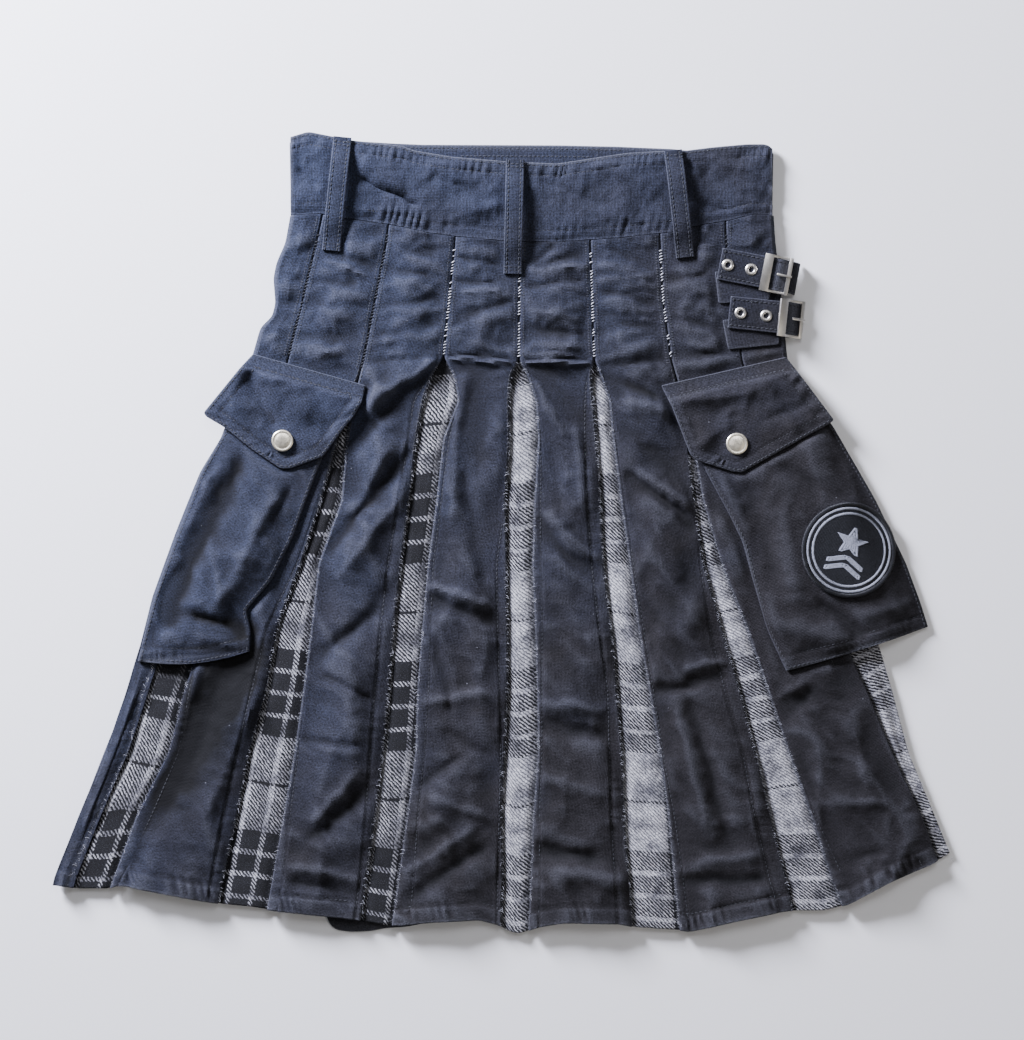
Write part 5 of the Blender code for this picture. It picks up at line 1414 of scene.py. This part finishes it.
def make_flap(side):
    """A pointed flap of doubled canvas, with a double seam at its top and a stitched border."""
    outline, ax, ay, ux, uy, length = flap_frame(side)

    def wear_and_shade_at(x, y):
        inside = -distance_outside(x, y, outline)
        away = (x - ax) * uy - (y - ay) * ux
        # Lighter at the edges and along the seam as wear; darker in the stitched grooves of the border
        # and the seam as painted shade
        return (0.42 * bump(inside, 1.1) + 0.08 * bump(inside - 5, 4) + 0.12 * bump(away - 12, 1.5)
                - 0.35 * bump(inside - 9.4, 1.1) * ease((away - 12) / 3) - 0.4 * bump(away - 9.9, 1.1))

    obj, flat, area = cut_sheet(f"flap_{side}_cloth", outline, lambda x, y: flap_z(side, x, y),
                                FLAP, BLACK_CANVAS, 1.9, 2.4,
                                math.degrees(math.atan2(uy, ux)), wear_and_shade_at)
    dress(obj, f"flap_{side}")
    paths = []
    for away in (2.0, 9.5):
        at = np.arange(2.5 + away * 0.2, length - 1.5 - away * 0.2, 3.0)
        x, y = ax + ux * at + uy * away, ay + uy * at - ux * away
        paths.append(np.stack([x, y, flap_z(side, x, y) + FLAP / 2], axis=1))
    turn = sum(x0 * y1 - x1 * y0 for (x0, y0), (x1, y1) in zip(outline, outline[1:] + outline[:1]))
    edge = rounded(outline if turn > 0 else outline[::-1], 2.4, 2.0)
    for depth in (2.0, 9.0):
        spot = inset(rounded([tuple(p) for p in edge], depth + 1, 2.0), depth)
        inside = -distance_outside(spot[:, 0], spot[:, 1], outline)
        away = (spot[:, 0] - ax) * uy - (spot[:, 1] - ay) * ux
        good = (inside > depth - 0.8) & (away > 9.5)
        if good.any():
            first = int(np.argmin(good)) if not good.all() else 0
            spot, good = np.roll(spot, -first, axis=0), np.roll(good, -first)
            spot = spot[good]
            paths.append(np.stack([spot[:, 0], spot[:, 1],
                                   flap_z(side, spot[:, 0], spot[:, 1]) + FLAP / 2], axis=1))
    return paths


def turned(name, x, y, rings, finish, segments=64):
    """A turned piece from (radius, z) rings, bottom to top."""
    angle = np.linspace(0, 2 * math.pi, segments, endpoint=False)
    vertices = [(x + r * math.cos(a), y + r * math.sin(a), z) for r, z in rings for a in angle]
    faces = [tuple(range(segments))[::-1]]
    for ring in range(len(rings) - 1):
        for step in range(segments):
            after = (step + 1) % segments
            faces.append((ring * segments + step, ring * segments + after,
                          (ring + 1) * segments + after, (ring + 1) * segments + step))
    top = (len(rings) - 1) * segments
    faces.append(tuple(range(top, top + segments)))
    return make_mesh(name, vertices, faces, finish, sharp=50)


def make_snap(side):
    """A pressed cap with a rolled rim and a shallow dome."""
    base = FLAP_HIGH_Z + FLAP / 2 + GAP
    r, h = SNAP_RADIUS, SNAP_HEIGHT
    rings = [(r - 1.0, base - 0.2), (r - 0.2, base + 0.1), (r, base + 0.6), (r - 0.05, base + 1.0),
             (r - 0.4, base + 1.5), (r - 1.0, base + 1.75), (r - 1.7, base + 1.7),
             (r - 2.1, base + 1.5), (r - 2.5, base + 1.52), (r - 3.4, base + h - 0.35),
             (r - 5.0, base + h - 0.12), (r - 7.0, base + h), (0.3, base + h)]
    obj = turned(f"snap_{side}_cap", *SNAPS[side], rings, SNAP_METAL)
    dress(obj, f"snap_{side}")


def make_eyelet(name):
    """A pressed ring, rolled round its hole."""
    x, y, z = EYELETS[name]
    base = z + GAP
    profile = [(EYELET_HOLE, base - 0.1), (EYELET_RADIUS, base), (EYELET_RADIUS - 0.15, base + 0.3),
               (EYELET_RADIUS - 0.9, base + 0.75), (EYELET_RADIUS - 1.5, base + EYELET_HEIGHT),
               (EYELET_HOLE + 0.6, base + 0.75), (EYELET_HOLE + 0.1, base + 0.35)]
    segments = 40
    angle = np.linspace(0, 2 * math.pi, segments, endpoint=False)
    vertices = [(x + r * math.cos(a), y + r * math.sin(a), h) for r, h in profile for a in angle]
    faces = []
    for ring in range(len(profile)):
        other = (ring + 1) % len(profile)
        for step in range(segments):
            after = (step + 1) % segments
            faces.append((ring * segments + step, ring * segments + after,
                          other * segments + after, other * segments + step))
    obj = make_mesh(name + "_ring", vertices, faces, BUCKLE_METAL, sharp=60)
    dress(obj, name)


def make_strap(name):
    """A strap of folded canvas with stitched edges."""
    x0, y0, turn, heights = STRAPS[name]
    ux, uy = math.cos(math.radians(turn)), math.sin(math.radians(turn))
    run = heights[-1][0]
    height = line(heights, 2)
    across = ((rows_near_rim(18) - 0.5) * STRAP_WIDTH)[::-1, None]
    along = (run * rows_near_rim(46))[None, :]
    side = STRAP_WIDTH / 2 - np.abs(across)
    z = height(along) + lumps(along, across, 6, 130) * 0.2 * ease(side / 3)
    z = z - 0.35 * bump(side - 2.6, 0.7) + 0 * across
    x = x0 + ux * along - uy * across
    y = y0 + uy * along + ux * across
    grid = np.stack([x, y, z], axis=-1)
    uv = np.stack([along + 0 * across, across + 0 * along], axis=-1)
    # Lighter at the edges and ends as wear and a little darker overall; lighter in the middle, inside the
    # buckle, as painted light
    wear_and_shade = 0.6 * bump(side, 1.0) + 0.6 * bump(along, 1.2) - 0.2 + 0.9 * bump(along - 50, 6) + 0 * z
    obj = shell(name + "_cloth", grid, STRAP, BLACK_CANVAS, uv, wear_and_shade, rim_columns=True)
    flat, area = cut_of(grid)
    dress(obj, name)
    paths = []
    for sign in (-1, 1):
        at = np.arange(2.5, run - 2, 2.0)
        off = sign * (STRAP_WIDTH / 2 - 2.6)
        paths.append(np.stack([x0 + ux * at - uy * off, y0 + uy * at + ux * off,
                               height(at) + STRAP / 2], axis=1))
    off = np.linspace(-STRAP_WIDTH / 2 + 2.6, STRAP_WIDTH / 2 - 2.6, 10)
    paths.append(np.stack([x0 + ux * 2.6 - uy * off, y0 + uy * 2.6 + ux * off,
                           height(2.6) + STRAP / 2 + 0 * off], axis=1))
    return paths


def make_tab(name):
    outline = TABS[name]

    def wear_and_shade_at(x, y):
        return 0.5 * bump(distance_outside(x, y, outline), 1.2)

    middle = SEAT + CANVAS / 2
    obj, flat, area = cut_sheet(name + "_cloth", outline,
                                lambda x, y: middle + lumps(x, y, 7, 140) * 0.12, CANVAS,
                                BLACK_CANVAS, 2.5, 1.5, -6, wear_and_shade_at)
    dress(obj, name)


def softened_copy(node, name, finish, width=0.45):
    """A copy of a metal solid with its edges rounded."""
    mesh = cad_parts[node].data.copy()
    obj = bpy.data.objects.new(name, mesh)
    bpy.context.scene.collection.objects.link(obj)
    mesh.materials.clear()
    mesh.materials.append(finish)
    weld = obj.modifiers.new("weld", "WELD")
    weld.merge_threshold = 0.00001
    flat = obj.modifiers.new("flatten", "DECIMATE")
    flat.decimate_type = "DISSOLVE"
    flat.angle_limit = math.radians(1)
    bevel = obj.modifiers.new("round", "BEVEL")
    bevel.width = width * MM
    bevel.segments = 3
    bevel.limit_method = "ANGLE"
    bevel.angle_limit = math.radians(40)
    bevel.use_clamp_overlap = True
    return settle(obj, name)


def settle(obj, name):
    """The object as its modifiers leave it, as a plain mesh."""
    graph = bpy.context.evaluated_depsgraph_get()
    mesh = bpy.data.meshes.new_from_object(obj.evaluated_get(graph), depsgraph=graph)
    bpy.data.objects.remove(obj)
    mesh.name = name
    mesh.shade_smooth()
    mesh.set_sharp_from_angle(angle=math.radians(35))
    made = bpy.data.objects.new(name, mesh)
    bpy.context.scene.collection.objects.link(made)
    return made


def repeat_tree():
    """Geometry Nodes: an item set along paths at a pitch, turned with them, each a little differently."""
    tree = bpy.data.node_groups.new("items_along_paths", "GeometryNodeTree")
    tree.is_modifier = True
    face = tree.interface
    face.new_socket("Paths", in_out="INPUT", socket_type="NodeSocketGeometry")
    sockets = {
        "Item": "NodeSocketObject", "Pitch": "NodeSocketFloat", "Turn": "NodeSocketFloat",
        "Turn Spread": "NodeSocketFloat", "Smallest": "NodeSocketFloat",
        "Largest": "NodeSocketFloat", "Share Kept": "NodeSocketFloat", "Seed": "NodeSocketInt",
        "Finish": "NodeSocketMaterial",
    }
    for name, kind in sockets.items():
        face.new_socket(name, in_out="INPUT", socket_type=kind)
    face.new_socket("Items", in_out="OUTPUT", socket_type="NodeSocketGeometry")
    given = add_node(tree, "NodeGroupInput").outputs
    curve = add_node(tree, "GeometryNodeMeshToCurve", {"Mesh": given["Paths"]}).outputs[0]
    points = add_node(tree, "GeometryNodeResampleCurve", {"Curve": curve, "Length": given["Pitch"]},
                      mode="LENGTH").outputs[0]
    tangent = add_node(tree, "GeometryNodeInputTangent").outputs[0]
    ahead = add_node(tree, "FunctionNodeAlignRotationToVector", {"Vector": tangent}, axis="X")
    level = add_node(tree, "FunctionNodeAlignRotationToVector", {
        "Rotation": ahead.outputs[0], "Vector": (0, 0, 1),
    }, axis="Z", pivot_axis="X")
    negative = add_node(tree, "ShaderNodeMath", {0: given["Turn Spread"], 1: -1.0},
                        operation="MULTIPLY").outputs[0]
    low = add_node(tree, "ShaderNodeCombineXYZ", {0: negative, 1: negative, 2: negative}).outputs[0]
    high = add_node(tree, "ShaderNodeCombineXYZ", {
        0: given["Turn Spread"], 1: given["Turn Spread"], 2: given["Turn Spread"],
    }).outputs[0]
    spread = add_node(tree, "FunctionNodeRandomValue", {
        "Min": low, "Max": high, "Seed": given["Seed"],
    }, data_type="FLOAT_VECTOR").outputs[0]
    turn = add_node(tree, "ShaderNodeCombineXYZ", {2: given["Turn"]}).outputs[0]
    both = add_node(tree, "ShaderNodeVectorMath", {0: spread, 1: turn}).outputs[0]
    twist = add_node(tree, "FunctionNodeEulerToRotation", {0: both}).outputs[0]
    final = add_node(tree, "FunctionNodeRotateRotation", {
        0: level.outputs[0], 1: twist,
    }, rotation_space="LOCAL").outputs[0]
    size = add_node(tree, "FunctionNodeRandomValue", {
        2: given["Smallest"], 3: given["Largest"], "Seed": given["Seed"],
    }, data_type="FLOAT").outputs[1]
    kept = add_node(tree, "FunctionNodeRandomValue", {
        "Probability": given["Share Kept"], "Seed": given["Seed"],
    }, data_type="BOOLEAN").outputs[3]
    item = add_node(tree, "GeometryNodeObjectInfo", {"Object": given["Item"]}).outputs["Geometry"]
    placed = add_node(tree, "GeometryNodeInstanceOnPoints", {
        "Points": points, "Selection": kept, "Instance": item, "Rotation": final, "Scale": size,
    }).outputs[0]
    real = add_node(tree, "GeometryNodeRealizeInstances", {0: placed}).outputs[0]
    done = add_node(tree, "GeometryNodeSetMaterial", {
        "Geometry": real, "Material": given["Finish"],
    }).outputs[0]
    add_node(tree, "NodeGroupOutput", {0: done})
    return tree


ALONG_PATHS = repeat_tree()


def lens_item(name, length, width, height, bend=0.0):
    """A thin pointed body along +X, four-sided, which may bend like a fibre."""
    stations = [(-0.5, 0.0), (-0.28, 0.85), (0.0, 1.0), (0.28, 0.85), (0.5, 0.0)]
    vertices, faces = [], []
    for share, fat in stations:
        drop = bend * (1 - 4 * share * share)
        if fat == 0:
            vertices.append((share * length, drop, 0))
            continue
        for dy, dz in ((1, 0), (0, 1), (-1, 0), (0, -1)):
            vertices.append((share * length, drop + dy * width / 2 * fat, dz * height / 2 * fat))
    for step in range(4):
        after = (step + 1) % 4
        faces.append((0, 1 + after, 1 + step))
        for ring in (1, 5):
            faces.append((ring + step, ring + after, ring + 4 + after, ring + 4 + step))
        faces.append((9 + step, 9 + after, 13))
    item = make_mesh(name, vertices, faces, SEWING_THREAD, sharp=0)
    item.hide_render = True
    return item


def lay_items(name, paths, item, finish, pitch, turn=0.0, spread=0.04, sizes=(0.92, 1.08),
              kept=1.0, seed=1):
    """Items along paths of points in mm, as one plain mesh on the body."""
    vertices, edges = [], []
    for path in paths:
        first = len(vertices)
        vertices.extend((np.asarray(path) * MM).tolist())
        edges.extend((index, index + 1) for index in range(first, len(vertices) - 1))
    mesh = bpy.data.meshes.new(name + "_paths")
    mesh.from_pydata(vertices, edges, [])
    obj = bpy.data.objects.new(name + "_paths", mesh)
    bpy.context.scene.collection.objects.link(obj)
    modifier = obj.modifiers.new("items", "NODES")
    modifier.node_group = ALONG_PATHS
    values = {
        "Item": item, "Pitch": pitch * MM, "Turn": math.radians(turn), "Turn Spread": spread,
        "Smallest": sizes[0], "Largest": sizes[1], "Share Kept": kept, "Seed": seed,
        "Finish": finish,
    }
    for socket in ALONG_PATHS.interface.items_tree:
        if socket.item_type == "SOCKET" and socket.name in values:
            modifier[socket.identifier] = values[socket.name]
    obj.update_tag()
    bpy.context.view_layer.update()
    graph = bpy.context.evaluated_depsgraph_get()
    made = bpy.data.meshes.new_from_object(obj.evaluated_get(graph), depsgraph=graph)
    bpy.data.objects.remove(obj)
    made.name = name
    made.shade_smooth()
    piece = bpy.data.objects.new(name, made)
    bpy.context.scene.collection.objects.link(piece)
    return dress(piece, None)


def showing(path, outlines=COVERS, clear=1.0):
    """The runs of a path that no pocket, flap, strap or tab covers."""
    path = np.asarray(path)
    hidden = np.zeros(len(path), bool)
    for outline in outlines:
        hidden |= distance_outside(path[:, 0], path[:, 1], outline) < clear
    runs, current = [], []
    for point, gone in zip(path, hidden):
        if gone:
            if len(current) > 2:
                runs.append(np.array(current))
            current = []
        else:
            current.append(point)
    if len(current) > 2:
        runs.append(np.array(current))
    return runs


def panel_path(number, side, inset_at, y_from, y_to, lift=0.05):
    """A line on a panel at a distance in from one edge; inset_at gives it for each y."""
    y = np.arange(y_from, y_to, -2.5)
    left, right, band_left, band_right = panel_edges(number, y)
    if side == "left":
        x = left + inset_at(band_left)
    else:
        x = right - inset_at(band_right)
    y_hem = hem(x)
    good = (y > y_hem + 1.5) & (y < waist_seam(x) - 1.5)
    x, y = x[good], y[good]
    return np.stack([x, y, panel_z(number, x, y) + CANVAS / 2 + lift], axis=1)


def skirt_stitching():
    """Edge stitches beside the wool, band stitches past them, and the hem."""
    paths = []
    for number in range(8):
        for side in ("left", "right"):
            if (number, side) in ((0, "left"), (7, "right")):
                continue
            last = LAST_PANEL_END + 4 if number == 7 else -330
            edge = panel_path(number, side, lambda band: 1.6 + 0 * band, 128, 62)
            paths += showing(edge)
            y = np.arange(118, last, -2.5)
            left, right, band_left, band_right = panel_edges(number, y)
            band = band_left if side == "left" else band_right
            shown = band > 3.0
            run = []
            for place, good, width in zip(y, shown, band):
                if good:
                    run.append((place, width))
            if len(run) > 4:
                run = np.array(run)
                x = (left if side == "left" else right)[shown]
                x = x + run[:, 1] if side == "left" else x - run[:, 1]
                good = run[:, 0] > hem(x) + 1.5
                x, place = x[good], run[good, 0]
                z = panel_z(number, x, place) + CANVAS / 2 + 0.05
                paths += showing(np.stack([x, place, z], axis=1))
    for number in range(7):
        x = np.arange(-352, 340, 2.5)
        y = hem(x) + 14.2
        left, right = panel_edges(number, y)[:2]
        inside = (x > left + 2) & (x < right - 2)
        x, y = x[inside], y[inside]
        if len(x) > 3:
            z = panel_z(number, x, y) + CANVAS / 2 + 0.05
            paths += showing(np.stack([x, y, z], axis=1))
    return paths


def band_stitching():
    paths = []
    x = np.arange(-166, 212, 2.5)
    for y in (band_top(x) - 2.2, band_top(x) - 10, waist_seam(x) + 2.0, waist_seam(x) + 9):
        paths.append(np.stack([x, y, band_z(x, y) + BAND / 2], axis=1))
    x = np.arange(-80, 95, 2.5)
    for away in (3, 9):
        y = apron_band_top(x) - away
        good = y > band_top(x) + 1.5
        paths.append(np.stack([x[good], y[good], APRON_BAND + 0 * x[good]], axis=1))
    return [path for path in paths if len(path) > 2]


def seam_paths(number, offset, y_from, y_to, z_lift):
    """A line along a yoke seam, set to one side of it."""
    y = np.arange(y_from, y_to, -2.0)
    x = (WOOL_LEFT[number](y) + WOOL_RIGHT[number](y)) / 2 + offset
    owner = number - 1 if offset < 0 else number
    z = np.where(np.abs(x) < 1e9, panel_z(owner, x, y), 0) + CANVAS / 2 + z_lift
    return np.stack([x, y, z], axis=1)


YOKE_SEAMS = {1: 140, 2: 130, 3: 142, 4: 140, 5: 140, 6: 134, 7: 140}


def sew_everything(sewn):
    stitch = lens_item("stitch", 2.9, 0.85, 0.62)
    for name, paths in sewn.items():
        lay_items(f"{name}_stitching", paths, stitch, SEWING_THREAD, 3.5, seed=3)
    ladder = lens_item("ladder_stitch", 2.6, 0.7, 0.6)
    paths = []
    for number, end in YOKE_SEAMS.items():
        top = float(waist_seam(WOOL_LEFT[number](np.array(235.0)))) - 3
        for offset in (-3.6, 3.6):
            paths += showing(seam_paths(number, offset, top, end, 0.05))
    lay_items("yoke_ladder_stitching", paths, ladder, SEWING_THREAD, 2.1, 52, 0.25,
              (0.8, 1.1), 0.95, 5)
    fleck = lens_item("wool_fleck", 3.4, 1.15, 0.9)
    pale = []
    for number, start, end in ((3, 224, 140), (4, 204, 138), (5, 226, 138), (6, 226, 138)):
        pale += showing(seam_paths(number, 0.01, start, end, 0.25))
    lay_items("yoke_wool_flecks", pale, fleck, WOOL_FIBRE, 2.3, -62, 0.3,
              (0.55, 1.05), 0.8, 7)
    crossing = []
    for number in (1, 2, 7):
        crossing += showing(seam_paths(number, 0.01, 236, YOKE_SEAMS[number], 0.15))
    lay_items("yoke_crossing_stitching", crossing, ladder, SEWING_THREAD, 2.6, -55, 0.3,
              (0.9, 1.25), 0.85, 9)
    remove_items(stitch, ladder, fleck)


def fray_wool():
    """Loose fibres where the wool passes under the panels' edges."""
    fibre = lens_item("wool_hair", 4.6, 0.2, 0.2, 0.9)
    pale, dark = [], []
    for number in PLEATS:
        y = np.arange(134, -316, -1.6)
        for side, edge in ((-1, WOOL_LEFT[number]), (1, WOOL_RIGHT[number])):
            x = edge(y)
            width = WOOL_RIGHT[number](y) - WOOL_LEFT[number](y)
            good = (y > hem(x) + 1) & (width > 3)
            if number == 7:
                good &= y > LAST_PANEL_END + 4
            z = np.full(good.sum(), FACE_Z + CANVAS / 2 + 0.25)
            runs = showing(np.stack([x[good] + side * 0.4, y[good], z], axis=1))
            pale += runs
            dark += runs
    y = np.arange(-52, -262, -1.6)
    side = np.stack([right_side(y) - 0.4, y, np.full(len(y), WOOL_Z + 1.2)], axis=1)
    pale += showing(side)
    lay_items("frayed_wool_pale", pale, fibre, WOOL_FIBRE, 1.5, 70, 0.75,
              (0.45, 1.25), 0.6, 11)
    lay_items("frayed_wool_dark", dark, fibre, DARK_FIBRE, 1.7, 100, 0.8,
              (0.5, 1.2), 0.6, 13)
    remove_items(fibre)


def remove_items(*items):
    for item in items:
        bpy.data.objects.remove(item)


def badge_z(x, y):
    return pocket_z("right", x, y) + CANVAS / 2 + GAP + 0.35 + BADGE / 2


def make_badge():
    """A round badge with a thick bound edge, a ring, a plain star and two chevrons."""
    cx, cy = BADGE_CENTRE
    angle = np.linspace(0, 2 * math.pi, 60, endpoint=False)
    radius = BADGE_RADIUS - 0.6
    outline = [(cx + radius * math.cos(a), cy + radius * math.sin(a)) for a in angle]
    obj, flat, area = cut_sheet("badge_ground", outline, badge_z, BADGE, BADGE_GROUND, 2.0, 1.5, -18)
    dress(obj, "patch")

    def on_badge(points, lift):
        x, y = np.array(points, float).T
        turn = math.radians(-18)
        px = cx + x * math.cos(turn) - y * math.sin(turn)
        py = cy + x * math.sin(turn) + y * math.cos(turn)
        return np.stack([px, py, badge_z(px, py) + BADGE / 2 + lift], axis=1)

    def circle(radius):
        return [(radius * math.cos(a), radius * math.sin(a))
                for a in np.linspace(0, 2 * math.pi, 121)]

    def fill(corners, gap=0.7):
        """Lines that fill a shape with satin stitches."""
        corners = np.array(corners, float)
        lines = []
        for y in np.arange(corners[:, 1].min() + gap / 2, corners[:, 1].max(), gap):
            cuts = []
            for (ax, ay), (bx, by) in zip(corners, np.roll(corners, -1, axis=0)):
                if (ay > y) != (by > y):
                    cuts.append(ax + (bx - ax) * (y - ay) / (by - ay))
            cuts.sort()
            for start, end in zip(cuts[::2], cuts[1::2]):
                if end - start > 0.6:
                    lines.append([(start, y), ((start + end) / 2, y), (end, y)])
        return lines

    bound = lens_item("bound_edge_stitch", 4.4, 0.85, 1.5)
    lay_items("badge_bound_edge", [on_badge(circle(BADGE_RADIUS - 1.9), -0.1)], bound,
              EDGE_THREAD, 0.75, 82, 0.05, (0.96, 1.04), 1.0, 17)
    ring = lens_item("ring_stitch", 2.5, 0.7, 0.8)
    lay_items("badge_ring", [on_badge(circle(BADGE_RADIUS - 5.0), 0.05),
                             on_badge(circle(BADGE_RADIUS - 9.2), 0.0)],
              ring, SILVER_THREAD, 0.62, 75, 0.06, (0.9, 1.05), 1.0, 19)
    star = []
    for point in range(10):
        reach = 12.5 if point % 2 == 0 else 5.2
        a = math.pi / 2 + point * math.pi / 5
        star.append((reach * math.cos(a), 6.5 + reach * math.sin(a)))
    lines = fill(star, 0.62)
    for top in (-9.0, -15.5):
        for side in (-1, 1):
            chevron = [(0, top + 4.6), (side * 14, top - 1.6), (side * 14, top - 4.6), (0, top + 1.6)]
            lines += fill(chevron if side > 0 else chevron[::-1], 0.62)
    satin = lens_item("satin_stitch", 2.6, 0.66, 0.7)
    lay_items("badge_motif", [on_badge(path, 0.05) for path in lines], satin, SILVER_THREAD,
              1.7, 0, 0.08, (0.9, 1.1), 1.0, 23)
    remove_items(bound, ring, satin)


def make_stage():
    """A pale floor, soft light from the left and a camera straight above."""
    size = 6.0
    mesh = bpy.data.meshes.new("floor")
    mesh.from_pydata([(-size, -size, -0.0003), (size, -size, -0.0003), (size, size, -0.0003),
                      (-size, size, -0.0003)], [], [(0, 1, 2, 3)])
    floor = bpy.data.objects.new("floor", mesh)
    bpy.context.scene.collection.objects.link(floor)
    made, tree, shader = start_material("matt_white_floor")
    shader.inputs["Base Color"].default_value = srgb("#f4f4f4")
    shader.inputs["Roughness"].default_value = 0.9
    mesh.materials.append(made)
    world = bpy.data.worlds.new("studio")
    bpy.context.scene.world = world
    world.use_nodes = True
    background = world.node_tree.nodes["Background"]
    background.inputs[0].default_value = srgb("#f2f4fa")
    background.inputs[1].default_value = 0.16
    for name, place, side, power, colour in (
        ("window_light", (-1.3, 1.35, 0.66), 0.55, 292, "#e8eafd"),
        ("top_light", (0.4, 1.5, 2.4), 1.2, 22, "#f3f4ff"),
        ("fill_light", (1.9, -0.9, 1.7), 1.6, 14, "#fff6ec"),
    ):
        light = bpy.data.lights.new(name, "AREA")
        light.size = side
        light.energy = power
        light.color = srgb(colour)[:3]
        obj = bpy.data.objects.new(name, light)
        obj.location = place
        obj.rotation_euler = (-Vector(place)).to_track_quat("-Z", "Y").to_euler()
        bpy.context.scene.collection.objects.link(obj)
    camera = bpy.data.cameras.new("camera")
    camera.sensor_width = SENSOR
    camera.lens = SENSOR * CAMERA_HEIGHT / VIEW_LONG_SIDE
    obj = bpy.data.objects.new("camera", camera)
    obj.location = (VIEW_CENTRE[0] * MM, VIEW_CENTRE[1] * MM, (CAMERA_HEIGHT + SKIRT_TOP) * MM)
    bpy.context.scene.collection.objects.link(obj)
    bpy.context.scene.camera = obj


def main():
    make_stage()
    make_apron()
    for number in PLEATS:
        make_insert(number)
    for number in range(len(PLEATS) + 1):
        make_panel(number)
    make_waistband()
    sewn = {"waistband": band_stitching(), "skirt": skirt_stitching()}
    sewn["belt_loops"] = [path for name in BELT_LOOPS for path in make_belt_loop(name)]
    sewn["pockets"] = make_pocket("left") + make_pocket("right")
    sewn["flaps"] = make_flap("left") + make_flap("right")
    for side in SNAPS:
        make_snap(side)
    sewn["straps"] = [path for name in STRAPS for path in make_strap(name)]
    for name in TABS:
        make_tab(name)
    for name in EYELETS:
        make_eyelet(name)
    for name in ("buckle_upper", "buckle_lower", "prong_upper", "prong_lower"):
        metal = softened_copy(name, name + "_metal", BUCKLE_METAL)
        dress(metal, name)
    sew_everything(sewn)
    fray_wool()
    make_badge()


main()
